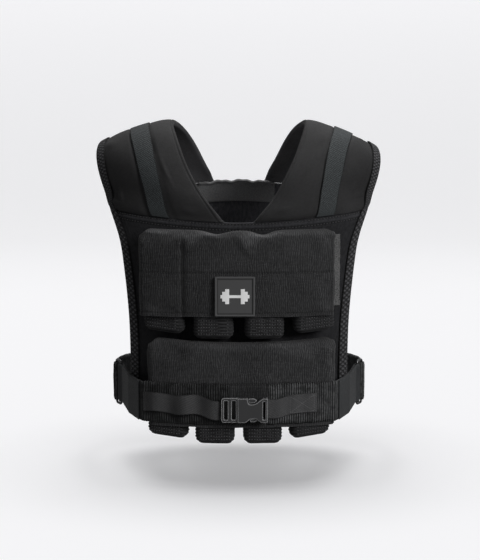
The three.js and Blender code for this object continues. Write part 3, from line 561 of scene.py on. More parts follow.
# The curve is sampled once and relaxed along its length, as cloth over foam has no sharp turns.
strap_rows, strap_columns = 180, 24
relaxing_turns = 40
strap_grid = [[strap_curve(i / strap_rows, j / strap_columns) for j in range(strap_columns + 1)]
              for i in range(strap_rows + 1)]
for turn in range(relaxing_turns):
    relaxed = [[(a + b * 2 + c) / 4 for a, b, c in zip(before, row, after)]
               for before, row, after in zip(strap_grid, strap_grid[1:], strap_grid[2:])]
    strap_grid = [strap_grid[0], *relaxed, strap_grid[-1]]


def strap_surface(along, across):
    row = min(max(along, 0), 1) * strap_rows
    column = min(max(across, 0), 1) * strap_columns
    i, j = min(int(row), strap_rows - 1), min(int(column), strap_columns - 1)
    near = strap_grid[i][j].lerp(strap_grid[i][j + 1], column - j)
    far = strap_grid[i + 1][j].lerp(strap_grid[i + 1][j + 1], column - j)
    return near.lerp(far, row - i)


def strap_normal(along, across):
    reach_along, reach_across = 1.2 / strap_rows, 1.2 / strap_columns
    before, after = max(along - reach_along, 0), min(along + reach_along, 1)
    inside, outside = max(across - reach_across, 0), min(across + reach_across, 1)
    lengthwise = strap_surface(after, across) - strap_surface(before, across)
    sideways = strap_surface(along, outside) - strap_surface(along, inside)
    normal = sideways.cross(lengthwise).normalized()
    level = max(1 - along * strap_spans, 1 - (1 - along) * strap_spans, 0)
    normal.z *= 1 - level
    return normal.normalized()


# The left shoulder stands a little higher, the neck side of each crown is puffed up, and the right strap
# is a little narrower.
shoulder_tilt = 0.0028
crown_puff = 0.0024
right_narrowing = 0.0015


def on_strap(sign, along, across, out):
    point = strap_surface(along, across) + strap_normal(along, across) * out
    arch = math.sin(math.pi * along) ** 2
    rise = crown_puff * hump(across, 0.15, 0.3) * arch**2 - sign * shoulder_tilt * across * arch
    narrow = right_narrowing * across * arch if sign > 0 else 0
    return Vector(((point.x - narrow) * sign, point.y, point.z + rise))


strap_cloth = cloth_material("strap_cloth", (0.0045, 0.0044, 0.0046), (0.0158, 0.0154, 0.0162), 0.85,
                             (0.0009, 0.0009), 0.00008, uneven=0.8, lint=0.5, gloss=0.25,
                             grain=(300, 0.3, (1, 1, 1)))
strap_length = 0.30
strap_width = 0.11
strap_unevenness = 0.0018
webbing_sink = 0.0012
neck_seam = 0.045
neck_seam_sink = 0.0007
webbing_width = 0.025
# Where the webbing lies across each strap, from the chest seam to the back seam
webbing_lines = {
    -1: [(0, 0.508), (0.12, 0.49), (0.36, 0.425), (0.545, 0.478), (0.75, 0.5), (1, 0.5)],
    1: [(0, 0.576), (0.12, 0.545), (0.36, 0.466), (0.545, 0.568), (0.75, 0.5), (1, 0.5)],
}
# Painted light on the lining under each strap: how much lighter it is drawn than the face, most on the right
strap_lining_painted_light = {-1: 2.4, 1: 6.0}
# Soft creases of the strap cloth: along, across, lengths of the crease each way, depth
strap_creases = [
    (0.16, 0.80, 0.030, 0.020, 0.0022),
    (0.20, 0.90, 0.050, 0.014, -0.0018),
    (0.12, 0.88, 0.016, 0.060, 0.0016),
    (0.27, 0.24, 0.050, 0.018, 0.0014),
    (0.36, 0.30, 0.030, 0.050, -0.0014),
    (0.42, 0.80, 0.022, 0.080, 0.0014),
    (0.10, 0.20, 0.020, 0.060, 0.0012),
]


def ease(value):
    value = min(max(value, 0.0), 1.0)
    return value * value * (3 - 2 * value)


def strap_place(sign):
    def place(u, v, out):
        across, along = (u + 1) / 2, (v + 1) / 2
        if out > padding / 2:
            out += strap_unevenness * noise.noise(Vector((across * 3 + sign, along * 9, 2.0)))
            shift = 0.03 * sign
            calm = ease((1 - across) / 0.1) * ease(along / 0.06)
            for at, beside, long, wide, depth in strap_creases:
                crease = hump(along, at + shift * across, long) * hump(across, beside - shift, wide)
                out += calm * depth * crease
            aside = abs(across - smooth_row(webbing_lines[sign], along))
            out -= webbing_sink * (1 - ease((aside - 0.11) / 0.05))
            out -= neck_seam_sink * hump(across, neck_seam, 0.010)
        return on_strap(sign, along, across, out)

    return place


# Painted light on the strap face: painted shade darkens a narrow line near the neck edge, and a painted
# highlight lightens the neck edge itself.
def strap_painted_light(sign):
    def painted_light(u, v, side):
        if side < 0:
            return strap_lining_painted_light[sign]
        return -0.45 * hump(u, -0.93, 0.012) + 0.35 * hump(u, -1, 0.02)

    return painted_light


for name, sign in (("left", -1), ("right", 1)):
    piece = bent_sheet("shoulder_strap_cloth_" + name, strap_cloth, (90, 170), (strap_width, strap_length),
                       padding, strap_place(sign), gather=(0.8, 1.0), radii=(padding / 2, 0.001),
                       painted_light=strap_painted_light(sign))
    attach(piece, "root")
    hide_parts("shoulder_strap_" + name)


# Webbing on the straps. A 25 mm nylon tape sewn flat along the middle of each strap, its yarns packed
# tight in a fine slanting rib that catches more light than the cloth under it.
webbing_thickness = 0.0015
webbing_bedding = 0.0006
# The tape's ends are tucked into the seams of chest and back.
webbing_start, webbing_run = 0.012, 0.976
nylon_webbing = cloth_material("nylon_webbing", (0.0095, 0.0105, 0.0110), (0.0500, 0.0560, 0.0585), 0.7,
                               (0.0021, 0.0030), 0.00025, slant=0.7, uneven=1.1, lint=0.3, gloss=0.1,
                               grain=(480, 0.6, (1, 1, 1)))


def tape_edge_painted_shade(u, v, side):
    """Painted shade: a narrow dark line along both edges of a tape, where its sewn edge sinks into the cloth
    under it.
    """
    return -0.85 * ease((abs(u) - 0.90) / 0.05)


def strap_webbing_place(sign):
    def place(u, v, out):
        along = webbing_start + (v + 1) / 2 * webbing_run
        width = (strap_surface(along, 0.6) - strap_surface(along, 0.4)).length / 0.2
        middle = smooth_row(webbing_lines[sign], along)
        return on_strap(sign, along, middle + u * webbing_width / 2 / width, padding - webbing_bedding + out)

    return place


for name, sign in (("left", -1), ("right", 1)):
    piece = bent_sheet("strap_webbing_" + name, nylon_webbing, (18, 150), (webbing_width, strap_length),
                       webbing_thickness, strap_webbing_place(sign), painted_light=tape_edge_painted_shade)
    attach(piece, "root")
    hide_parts("shoulder_webbing_" + name)


# Edge binding. A knitted tape folded over the raw edge of panels and straps and sewn through; its face
# is a coarse diagonal knit that shows as rows of dots.
binding_width = 0.011
binding_wall = 0.0013
binding_flat = (0.026, 0.82)
binding_stops = {"panel": 60, "strap": 90}
wrap_gap = 0.0004
knit_binding = cloth_material("knit_binding", (0.001, 0.001, 0.001), (0.075, 0.075, 0.079), 0.9,
                              (0.0056, 0.0056), 0.0009, slant=1.0, uneven=0.25, lint=0.1,
                              grain=(500, 0.6, (1, 1, 1)))


def binding_point(point_at, length, run):
    """run goes 0 to 1 across the tape: over the outer face, round the edge and under the inner face."""
    reach = (point_at(1, padding / 2) - point_at(1 - binding_width / length, padding / 2)).normalized()
    normal = (point_at(1, padding) - point_at(1, 0)).normalized()
    radius = padding / 2 + wrap_gap
    flat = binding_width - radius * 0.2
    turn = math.pi * radius
    place = run * (2 * flat + turn)
    if place < flat:
        return point_at(1 - (flat - place) / length, padding + wrap_gap), normal
    if place > flat + turn:
        return point_at(1 - (place - flat - turn) / length, -wrap_gap), -normal
    angle = (place - flat) / turn * math.pi
    direction = normal * math.cos(angle) + reach * math.sin(angle)
    return point_at(1, padding / 2) + direction * radius, direction


def binding_place(sign):
    panel_stops, strap_stops = binding_stops["panel"], binding_stops["strap"]
    stops = [("front", 1 - i / panel_stops) for i in range(panel_stops + 1)]
    stops += [("strap", i / strap_stops) for i in range(1, strap_stops)]
    stops += [("back", i / panel_stops) for i in range(panel_stops + 1)]
    last = len(stops) - 1

    def place(u, v, out):
        part, share = stops[min(max(round((v + 1) / 2 * last), 0), last)]
        run = (1 - u) / 2
        if part == "strap":
            length = (strap_surface(share, 1) - strap_surface(share, 0)).length
            point, direction = binding_point(
                lambda across, o: on_strap(sign, share, across, o), length, run)
        else:
            panel = front if part == "front" else back
            z = panel["seam_side"] + (panel_bottom - panel["seam_side"]) * share
            length = panel_half_arc(panel, z)
            point, direction = binding_point(
                lambda across, o: on_panel(panel, across * sign, share, o), length, run)
        return point + direction * out

    return place, last


for name, sign in (("left", -1), ("right", 1)):
    place, last = binding_place(sign)
    # The binding's inner edge on the outer face is painted dark: painted shade where it meets the cloth.
    piece = bent_sheet("edge_binding_" + name, knit_binding, (22, last), binding_flat, binding_wall, place,
                       gather=(0, 0), painted_light=lambda u, v, side: -0.9 * ease((u - 0.86) / 0.1))
    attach(piece, "root")
    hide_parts("armhole_binding_" + name)


# Collar pad. A soft roll and a shallow pad sewn inside the back panel's top edge, where it rests on the
# wearer's neck; the roll is stitched a little unevenly.
collar_half_arc = 0.054
collar_height = 0.030
collar_shift = -0.004
collar_thickness = 0.006
collar_fullness = 0.0045
collar_rise = 0.0028
back_seam_arc = 0.15


def collar_place(u, v, out):
    arc = u * collar_half_arc + collar_shift
    wave = 0.0009 * math.sin(u * 11) + 0.0006 * math.sin(u * 23 + 1)
    roll = collar_fullness * hump(v, 0.86, 0.16)
    depth = collar_fullness * (1 - abs(u) ** 8) * (0.8 - 0.4 * v) + roll
    flat = around_torso(arc, -out / collar_thickness * depth - 0.0003, -1)
    top = seam_height(back, arc / back_seam_arc) + collar_rise + wave * ease(v)
    return Vector((flat.x, flat.y, top - (1 - v) / 2 * collar_height))


# The collar cloth's colours are several times lighter than the vest's other black cloth: painted light inside
# the neck, where the lamps barely reach.
collar_cloth_painted_light = cloth_material("collar_cloth_painted_light", (0.055, 0.055, 0.0562), (0.2, 0.2, 0.203), 0.9,
                              (0.0011, 0.0011), 0.0001, uneven=0.6)
piece = bent_sheet("collar_pad", collar_cloth_painted_light, (60, 28), (2 * collar_half_arc, collar_height),
                   collar_thickness, collar_place, gather=(0.5, 0.5), radii=(0.003, 0.003))
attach(piece, "root")


# Cover flaps. One heavy woven cloth each, sewn to the panel above the weights, thrown forward over the
# pouch tops and hanging down their fronts, with a stitched line across the middle and a hem below.
flap_thickness = 0.002
flap_height = 0.108
pouch_depth = 0.028
on_panel_out = padding + laid_gap
flap_reach = pouch_depth + laid_gap
# The flap's section: share of its run, share of its reach forward, share of its drop
flap_section = [
    (0, 0.0, 0.045), (0.1, 0.35, 0.003), (0.2, 0.74, 0.0), (0.28, 0.95, 0.05), (0.34, 1.0, 0.12),
    (0.6, 1.0, 0.5), (0.8, 1.0, 0.8), (1.0, 1.0, 1.0),
]
flap_cloth = cloth_material("flap_cloth", (0.0035, 0.0035, 0.0038), (0.046, 0.046, 0.0474), 0.92,
                            (0.0026, 0.0014), 0.0004, uneven=2.2, lint=0.35, grain=(560, 0.55, (1, 0.28, 1)))
flaps = {
    "upper_flap": {"top": -0.125, "half_arc": 0.1115, "shift": -0.0018, "seed": 4.0},
    "lower_flap": {"top": -0.266, "half_arc": 0.108, "shift": 0.0032, "seed": 9.0},
}
flap_outs = [(place, out) for place, out, down in flap_section]
flap_downs = [(place, down) for place, out, down in flap_section]
flap_middle = 0.59
flap_hem = 0.955
flap_side_seam = 0.0045
# The upper flap stands out over its right three quarters, past the side of the first pouch.
step_place = -0.0655
step_height = 0.0042
# Dips of the upper flap's top edge: place across, half width, depth
flap_dips = [(-0.024, 0.014, 0.0048), (0.030, 0.012, 0.00552)]
corner_drops = {"left": 0.0075, "right": 0.004}
# Folds of each flap: start and end as metres across and shares down, depth and half width
flap_folds = {
    "upper_flap": [
        (-0.024, 0.20, -0.060, 0.34, 0.0044, 0.009),
        (0.027, 0.22, 0.006, 0.37, 0.0056, 0.010),
        (0.050, 0.22, 0.034, 0.30, 0.0020, 0.008),
        (-0.104, 0.24, -0.080, 0.27, 0.0024, 0.006),
        (-0.060, 0.23, -0.030, 0.34, -0.0020, 0.010),
        (0.090, 0.24, 0.100, 0.40, 0.0018, 0.007),
        (-0.100, 0.86, -0.094, 0.98, 0.0016, 0.008),
        (0.094, 0.70, 0.100, 0.98, 0.0014, 0.008),
    ],
    "lower_flap": [
        (-0.100, 0.22, -0.070, 0.34, -0.0026, 0.011),
        (-0.060, 0.24, 0.010, 0.32, 0.0022, 0.010),
        (0.030, 0.22, 0.080, 0.36, 0.0020, 0.012),
        (-0.020, 0.36, 0.050, 0.52, -0.0014, 0.016),
        (0.096, 0.26, 0.102, 0.60, 0.0018, 0.006),
    ],
}


def fold_depth(folds, x, run):
    total = 0
    for x0, r0, x1, r1, depth, width in folds:
        across, down = x1 - x0, (r1 - r0) * 0.13
        length = math.hypot(across, down)
        px, pz = x - x0, (run - r0) * 0.13
        share = (px * across + pz * down) / length**2
        aside = (px * down - pz * across) / length
        total += depth * hump(aside, 0, width) * ease((share + 0.25) / 0.4) * ease((1.25 - share) / 0.4)
    return total


def flap_point(name, x, run, out):
    """x is the length across from the flap's middle, and run goes 0 at the sewn edge to 1 at the hem."""
    flap = flaps[name]
    upper = name == "upper_flap"
    edge = abs(x) / flap["half_arc"]
    reach = smooth_row(flap_outs, run) * flap_reach
    down = smooth_row(flap_downs, run) * flap_height
    front_part = ease((run - 0.25) / 0.15)
    if upper:
        sag = sum(depth * hump(x, at, width) for at, width, depth in flap_dips) + 0.0012 * (1 - edge)
        step = step_height * (1 - ease((x - step_place) / 0.0030)) * ease((run - 0.27) / 0.1)
    else:
        sag = 0.0045 * (1 - edge**2) - 0.003
        step = 0
    corner = corner_drops["left" if x < 0 else "right"] * ease((edge - 0.90) / 0.1) ** 2
    drop = (sag + corner) * (1 - ease((run - 0.12) / 0.32))
    seed = flap["seed"]
    soft = 0.0018 * noise.noise(Vector((x * 24, run * 6, seed)))
    soft += 0.0006 * noise.noise(Vector((x * 80, run * 16, seed)))
    ripple = 0.0007 * noise.noise(Vector((x * 60, 3.0, seed))) * ease((run - 0.7) / 0.3)
    puff = 0.0016 * math.sin(math.pi * min(max((run - 0.3) / 0.7, 0), 1))
    groove = 0.0008 * hump(run, flap_middle, 0.011) + 0.0007 * hump(run, flap_hem, 0.011)
    groove += 0.0006 * hump(flap["half_arc"] - abs(x), flap_side_seam, 0.0012)
    lift = fold_depth(flap_folds[name], x, run) + soft + ripple + (puff - groove) * front_part + step
    tuck = -0.006 * ease((edge - 0.955) / 0.045) * front_part
    height = on_panel_out + reach + out + lift * ease(run / 0.2) + tuck
    flat = around_torso(x + flap["shift"], height)
    return Vector((flat.x, flat.y, flap["top"] - down - drop + ripple))


# Painted light on each flap: painted shade darkens the sewn lines across the middle, along the hem and up the
# sides; painted highlights lighten the top where it turns forward, the crests of the folds, the hem's lower
# edge and the right edge. On the upper flap painted shade lies at the foot of the step and the right part of
# its top is darker; the lower flap is painted lighter overall and darker behind the buckle.
def flap_painted_light(name, x, run):
    half_arc = flaps[name]["half_arc"]
    painted_seam_shade = hump(run, flap_middle, 0.006) + hump(run, flap_hem, 0.006)
    painted_seam_shade += hump(half_arc - abs(x), flap_side_seam, 0.0009) * ease((run - 0.28) / 0.04)
    rubbed_and_painted_light = 0.3 * hump(run, 0.23, 0.06) * (0.4 + max(noise.noise(Vector((x * 40, run * 10, 7))), 0) * 2)
    rubbed_and_painted_light += 240 * max(fold_depth(flap_folds[name], x, run) - 0.0005, 0) + 0.9 * ease((run - 0.985) / 0.01)
    rubbed_and_painted_light += 1.2 * ease((x / half_arc - 0.985) / 0.01)
    if name == "upper_flap":
        rubbed_and_painted_light -= 0.55 * hump(x, -0.0610, 0.0035) * ease((run - 0.27) / 0.08)
        rubbed_and_painted_light -= 0.3 * ease((x - 0.03) / 0.03) * (1 - ease((run - 0.2) / 0.08))
    else:
        rubbed_and_painted_light += 0.15
        rubbed_and_painted_light -= 0.5 * hump(x, 0.012, 0.022) * ease((run - 0.55) / 0.1)
    return rubbed_and_painted_light - 0.55 * painted_seam_shade


def row_length(points):
    return sum((second - first).length for first, second in zip(points, points[1:]))


for name in flaps:
    half_arc = flaps[name]["half_arc"]

    def place(u, v, out):
        return flap_point(name, u * half_arc, (1 - v) / 2, out)

    flat_size = (row_length([place(i / 100 - 1, -0.2, 0.001) for i in range(201)]),
                 row_length([place(0.1, 1 - i / 100, 0.001) for i in range(201)]))
    piece = bent_sheet(name + "_cloth", flap_cloth, (190, 170), flat_size, flap_thickness, place,
                       gather=(0.5, 0.3),
                       painted_light=lambda u, v, side: flap_painted_light(name, u * half_arc, (1 - v) / 2))
    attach(piece, "root")
    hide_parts(name)
    seams = []
    for run in (flap_middle, flap_hem):
        def level_seam(share, out):
            return flap_point(name, (share * 2 - 1) * (half_arc - 0.005), run, flap_thickness + out)

        seams.append(seam_line(level_seam))
    for side in (-1, 1):
        def upright_seam(share, out):
            run = 0.3 + share * (flap_hem - 0.3)
            return flap_point(name, side * (half_arc - flap_side_seam), run, flap_thickness + out)

        seams.append(seam_line(upright_seam))
    sew(name + "_stitches", seams, pitch=0.0036, length=0.0026, width=0.0007,
        thread=dark_thread)


# Weight pouches. Four soft boxes in a row under each flap, a cloth sleeve over an iron bar; the ends are
# rounded, and the cloth is stitched in close level ribs.
pouch_heights = {"inner": 0.125, "outer": 0.120}
pouch_half_width = 0.0235
pouch_rows = {
    "upper": {"below": 0.012, "inner": 0.133 * 0.229, "outer": 0.133 * 0.662},
    "lower": {"below": 0.006, "inner": 0.133 * 0.214, "outer": 0.133 * 0.635},
}
pouch_cloth = cloth_material("pouch_cloth", (0.004, 0.004, 0.0044), (0.034, 0.034, 0.0355), 0.9,
                             (0.0014, 0.0012), 0.0004, uneven=0.5, flat_map=False)
rib_pitch = 0.0042
rib_depth = 0.0010
first_rib = 0.003
ribbed_height = 0.026
pouch_corner = 0.0095
pouch_unevenness = 0.0013
# The outer pouches are lifted towards the vest's sides by this much at the bottom corner.
pouch_tilt = 0.005


def pouch_layout(row, index):
    kind = "outer" if index in (1, 4) else "inner"
    arc = pouch_rows[row][kind] * (-1 if index < 3 else 1)
    return arc, flaps[row + "_flap"]["top"] - pouch_rows[row]["below"], pouch_heights[kind]


def ribbed(below):
    fade = ease(below / first_rib) * (1 - ease((below - ribbed_height) / 0.006))
    return rib_depth * fade * (0.5 + 0.5 * math.cos((below - first_rib) / rib_pitch * math.tau))


def pouch(name, row, index):
    arc, top, height = pouch_layout(row, index)
    bm = bmesh.new()
    painted_light_layer = bm.verts.layers.float.new("painted_light")
    bmesh.ops.create_cube(bm, size=2)
    upright = [edge for edge in bm.edges if abs(edge.verts[0].co.z - edge.verts[1].co.z) > 1]
    bmesh.ops.subdivide_edges(bm, edges=upright, cuts=90, use_grid_fill=True)
    level = [edge for edge in bm.edges if abs(edge.verts[0].co.z - edge.verts[1].co.z) < 1e-6
             and (edge.verts[0].co - edge.verts[1].co).length > 1.5]
    bmesh.ops.subdivide_edges(bm, edges=level, cuts=16, use_grid_fill=True)
    half = Vector((pouch_half_width, pouch_depth / 2, height / 2))
    seed = index * 3.1 + (0 if row == "upper" else 40)
    outer_side = {1: -1, 4: 1}.get(index, 0)
    for vert in bm.verts:
        lower_crowded = ((vert.co.z + 1) / 2) ** 1.6 * 2 - 1
        across, deep = math.sin(vert.co.x * math.pi / 2), math.sin(vert.co.y * math.pi / 2)
        point = Vector((across * half.x, deep * half.y, lower_crowded * half.z))
        inner = Vector([min(max(p, pouch_corner - h), h - pouch_corner) for p, h in zip(point, half)])
        away = point - inner
        if away.length > 1e-9:
            point = inner + away.normalized() * pouch_corner
        below = point.z + half.z
        swell = pouch_unevenness * noise.noise(Vector((point.x * 40 + seed, point.z * 30, seed)))
        outward = Vector((point.x / half.x, point.y / half.y, 0))
        if outward.length > 1e-6:
            point += outward.normalized() * (swell - ribbed(below))
        out = max(on_panel_out + pouch_depth / 2 + point.y, on_panel_out + 0.0002)
        flat = around_torso(arc + point.x, out)
        outwards = 0.5 + point.x * outer_side / half.x / 2
        tilt = pouch_tilt * outwards * (0.5 - point.z / height) * abs(outer_side)
        vert.co = Vector((flat.x, flat.y, top - height / 2 + point.z + tilt))
        # Painted shade darkens the pouch in the stitched grooves between the ribs; elsewhere its colour is a
        # quarter lighter.
        vert[painted_light_layer] = -0.75 * ribbed(below) / rib_depth + 0.25
    bm.normal_update()
    bmesh.ops.recalc_face_normals(bm, faces=bm.faces[:])
    return finish_mesh(name, bm, pouch_cloth)


for row in ("upper", "lower"):
    seams = []
    for index in range(1, 5):
        piece = pouch(f"{row}_pouch_cloth_{index}", row, index)
        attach(piece, "root")
        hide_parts(f"{row}_pouch_{index}")
        arc, top, height = pouch_layout(row, index)
        for rib in range(1, 6):
            below = first_rib + rib * rib_pitch

            def rib_point(share, out):
                x = (share * 2 - 1) * (pouch_half_width - 0.006)
                flat = around_torso(arc + x, on_panel_out + pouch_depth - rib_depth + 0.0003 + out)
                aside = 0.5 + x / pouch_half_width / 2 * (-1 if index == 1 else 1)
                tilt = pouch_tilt * aside * (1 - below / height) if index in (1, 4) else 0
                return Vector((flat.x, flat.y, top - height + below + tilt))

            seams.append(seam_line(rib_point, 20))
    sew(row + "_pouch_stitches", seams, pitch=0.0033, length=0.0023, width=0.0008)


# Loop tape. A strip of fuzzy grey-black loop pile sewn beside the upper flap, where the flap's side
# closes; only its outer half shows.
tape_low, tape_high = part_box("loop_tape")
tape_material = cloth_material("loop_pile", (0.013, 0.013, 0.013), (0.19, 0.19, 0.19), 1.0,
                               (0.0013, 0.0013), 0.0008, uneven=1.5, sheen=0.1, grain=(500, 0.9, (1, 1, 1)))
tape_width = 0.010
tape_thickness = 0.0016
tape_beside_flap = 0.006
pile_height = 0.0008


def tape_place(u, v, out):
    arc = flaps["upper_flap"]["half_arc"] + tape_beside_flap + (u + 1) / 2 * tape_width
    fuzz = pile_height * noise.noise(Vector((u * 9, v * 60, 0))) if out > tape_thickness / 2 else 0
    sway = 0.0009 * noise.noise(Vector((5, v * 6, 0)))
    flat = around_torso(arc + sway, on_panel_out + out * 2.2 + fuzz)
    height = tape_low.z + (v + 1) / 2 * (tape_high.z - tape_low.z)
    return Vector((flat.x, flat.y, height))


piece = bent_sheet("loop_tape_pile", tape_material, (14, 150), (tape_width, tape_high.z - tape_low.z),
                   tape_thickness, tape_place)
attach(piece, "root")
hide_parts("loop_tape")


# Patch. A square of moulded rubber with a raised rim, sewn at the flap's hem, with a white moulded
# dumbbell as its emblem.
def moulded_material(name, colour, roughness, grain, coat=0.0, metallic=0.0):
    material, tree, shader, place = new_material(name)
    dust = use_group(tree, lint_and_fading, place["Object"], Amount=0.25)["Mask"]
    lighter = tuple(channel * 1.4 + 0.004 for channel in colour)
    tree.links.new(with_painted_light(tree, mix_colours(tree, colour, lighter, dust)), shader["Base Color"])
    tree.links.new(math_node(tree, "MULTIPLY_ADD", dust, 0.25, roughness), shader["Roughness"])
    add_relief(tree, shader, noise_node(tree, place["Object"], 1500), grain, 0.5)
    shader["Coat Weight"].default_value = coat
    shader["Metallic"].default_value = metallic
    return material


patch_low, patch_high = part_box("patch")
patch_side = patch_high.x - patch_low.x
patch_rim = 0.0026
rim_height = 0.0010
patch_corner = 0.002
patch_thickness = 0.0017
patch_centre = (patch_low + patch_high) / 2
patch_lift = 0.0022


def patch_place(u, v, out):
    half = patch_side / 2
    x, z = u * half, v * half
    straight = half - patch_corner
    inner = Vector((min(max(x, -straight), straight), min(max(z, -straight), straight)))
    away = Vector((x, z)) - inner
    if away.length > patch_corner:
        away = away.normalized() * patch_corner
    x, z = inner + away
    from_edge = half - max(abs(x), abs(z))
    rim = rim_height * (1 - ease((from_edge - patch_rim + 0.0004) / 0.0006))
    if out <= patch_thickness / 2:
        rim = 0
    return Vector((patch_centre.x + x, patch_high.y - patch_lift - out - rim, patch_centre.z + z))


# Painted highlight on the raised rim, and painted shade in a line just inside it.
def patch_painted_light(u, v, side):
    from_edge = (1 - max(abs(u), abs(v))) * patch_side / 2
    return 0.5 * hump(from_edge, patch_rim * 0.6, 0.0008) - 0.9 * hump(from_edge, patch_rim + 0.0005, 0.0009)


patch_rubber = moulded_material("patch_rubber", (0.042, 0.042, 0.043), 0.65, 0.00008)
piece = bent_sheet("patch_rubber_square", patch_rubber, (90, 90), (patch_side, patch_side), patch_thickness,
                   patch_place, gather=(0.8, 0.8), radii=(0.0006, 0.0006), painted_light=patch_painted_light)
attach(piece, "root")
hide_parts("patch")


def round_edges(piece, width, limit):
    rounding = piece.modifiers.new("rounded edges", "BEVEL")
    rounding.width = width
    rounding.segments = 3
    rounding.limit_method = "ANGLE"
    rounding.angle_limit = math.radians(limit)
    rounding.harden_normals = True


emblem_rubber = moulded_material("emblem_rubber", (0.72, 0.72, 0.72), 0.5, 0.00004)
bm = bmesh.new()
bm.from_mesh(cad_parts["patch_emblem"].data)
bmesh.ops.remove_doubles(bm, verts=bm.verts[:], dist=1e-6)
bmesh.ops.dissolve_limit(bm, angle_limit=math.radians(1), verts=bm.verts[:], edges=bm.edges[:])
bmesh.ops.translate(bm, verts=bm.verts[:], vec=(0, -patch_lift, 0))
bmesh.ops.recalc_face_normals(bm, faces=bm.faces[:])
piece = finish_mesh("patch_emblem_moulded", bm, emblem_rubber)
round_edges(piece, 0.0002, 35)
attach(piece, "root")
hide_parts("patch_emblem")


# Belt. Three 52 mm elastic bands: two in front and one round the back, each passed through a metal
# loop at the side and folded back on itself. The front is ribbed upright, and the folded tails are smooth.
belt_width = 0.052
belt_centre = -0.343
band_thickness = 0.002
ring_wire = 0.0034
ring_opening = 0.012
front_tail = 0.108
back_tail = 0.030
ring_centre = Vector((0.1625, -0.005))
ring_outward = Vector((1, -0.55)).normalized()
ring_along = Vector((-ring_outward.y, ring_outward.x))
leg_offset = (ring_opening + ring_wire) / 2
front_leg = ring_centre - ring_along * leg_offset
back_leg = ring_centre + ring_along * leg_offset
belt_out = on_panel_out + flap_reach + flap_thickness + laid_gap + band_thickness / 2
binding_out = padding + 0.00055 + 0.0012 + laid_gap + band_thickness / 2
waist_arc = arc_at_width(panel_half_width)
elastic_pitch = 0.0030
rib_swell = 0.0005
# The front band's upright ribs end where its smooth folded tail begins.
tail_start = 0.235
tail_on_top = 0.122
elastic = cloth_material("elastic", (0.0028, 0.0029, 0.0030), (0.070, 0.0715, 0.073), 0.85,
                         (elastic_pitch, 10.0), 0.0004, uneven=0.9, lint=0.3, grain=(300, 0.5, (1, 1, 1)))
tail_cloth = cloth_material("belt_tail", (0.0060, 0.0064, 0.0070), (0.0285, 0.0306, 0.0326), 0.75,
                            (0.0009, 0.0011), 0.0001, uneven=0.6, lint=0.6, gloss=0.3,
                            grain=(330, 0.55, (1, 1, 1)))


def fold_round(path, leg, side, tail_length):
    """Carries a path on round a ring leg and back over its own outer side; also gives the tail's length."""
    last = path[-1]
    along = (leg - last).normalized()
    outward = Vector((-along.y, along.x))
    if outward.dot(side) < 0:
        outward.negate()
    radius = ring_wire / 2 + 0.00055 + band_thickness / 2
    folded = list(path)
    for i in range(13):
        angle = i / 12 * math.pi
        folded.append(leg - outward * math.cos(angle) * radius + along * math.sin(angle) * radius)
    under = [leg - outward * radius]
    left = tail_length
    for stop in reversed(path):
        start = under[-1]
        run = (stop - start).length
        pieces = max(round(min(run, left) / 0.008), 1)
        for i in range(1, pieces + 1):
            under.append(start.lerp(stop, min(left / run, 1) * i / pieces))
        left -= run
        if left <= 0:
            break
    gap = (band_thickness + laid_gap) * 1.1
    for i in range(1, len(under)):
        ahead = (under[min(i + 1, len(under) - 1)] - under[i - 1]).normalized()
        normal = Vector((-ahead.y, ahead.x))
        if normal.dot(outward) < 0:
            normal.negate()
        folded.append(under[i] + normal * gap)
    return folded


def front_path(start_arc):
    end_arc = flaps["lower_flap"]["half_arc"] + band_thickness
    points = [around_torso(start_arc + (end_arc - start_arc) * i / 12, belt_out) for i in range(13)]
    points.append(around_torso(waist_arc + 0.00175, binding_out))
    return points


def path_lengths(path):
    lengths = [0.0]
    for first, second in zip(path, path[1:]):
        lengths.append(lengths[-1] + (second - first).length)
    return lengths


def along_path(path, lengths, distance):
    """Point and left-hand normal of a plan path at a distance, with its corners eased."""
    i = min(max(bisect_left(lengths, distance), 1), len(path) - 1)
    t = min(max((distance - lengths[i - 1]) / max(lengths[i] - lengths[i - 1], 1e-9), 0), 1)
    p1, p2 = path[i - 1], path[i]
    span = (p2 - p1).length
    straight = (p2 - p1).normalized()
    slope1 = (p2 - path[i - 2]).normalized() * span if i > 1 else straight * span
    slope2 = (path[i + 1] - p1).normalized() * span if i < len(path) - 1 else straight * span
    point = (
        p1 * (2 * t**3 - 3 * t**2 + 1)
        + slope1 * (t**3 - 2 * t**2 + t)
        + p2 * (3 * t**2 - 2 * t**3)
        + slope2 * (t**3 - t**2)
    )
    tangent = (
        p1 * (6 * t**2 - 6 * t)
        + slope1 * (3 * t**2 - 4 * t + 1)
        + p2 * (6 * t - 6 * t**2)
        + slope2 * (3 * t**2 - 2 * t)
    ).normalized()
    return point, Vector((-tangent.y, tangent.x))


def band_place(path, sign, ribs, seed):
    """An upright band: u runs along the path, v up its width, out across its thickness."""
    lengths = path_lengths(path)
    total = lengths[-1]

    def place(u, v, out):
        distance = (u + 1) / 2 * total
        point, normal = along_path(path, lengths, distance)
        full = ribs(distance, total)
        drift = 1.6 * noise.noise(Vector((distance * 55, v * 1.5, seed + 2)))
        rib = full * rib_swell * math.cos(distance / elastic_pitch * math.tau + drift)
        wave = 0.0007 * noise.noise(Vector((distance * 60, v * 2, seed))) * full
        side = -1 if out < band_thickness / 2 else 1
        flat = point - normal * (out - band_thickness / 2 + side * rib + wave)
        ruffle = 0.0008 * noise.noise(Vector((distance * 90, v, seed + 5))) * abs(v) * full
        return Vector((flat.x * sign, flat.y, belt_centre + v * belt_width / 2 + ruffle))

    return place, total


def front_ribs(distance, total):
    return 1 - ease((distance - total + tail_start) / 0.006)


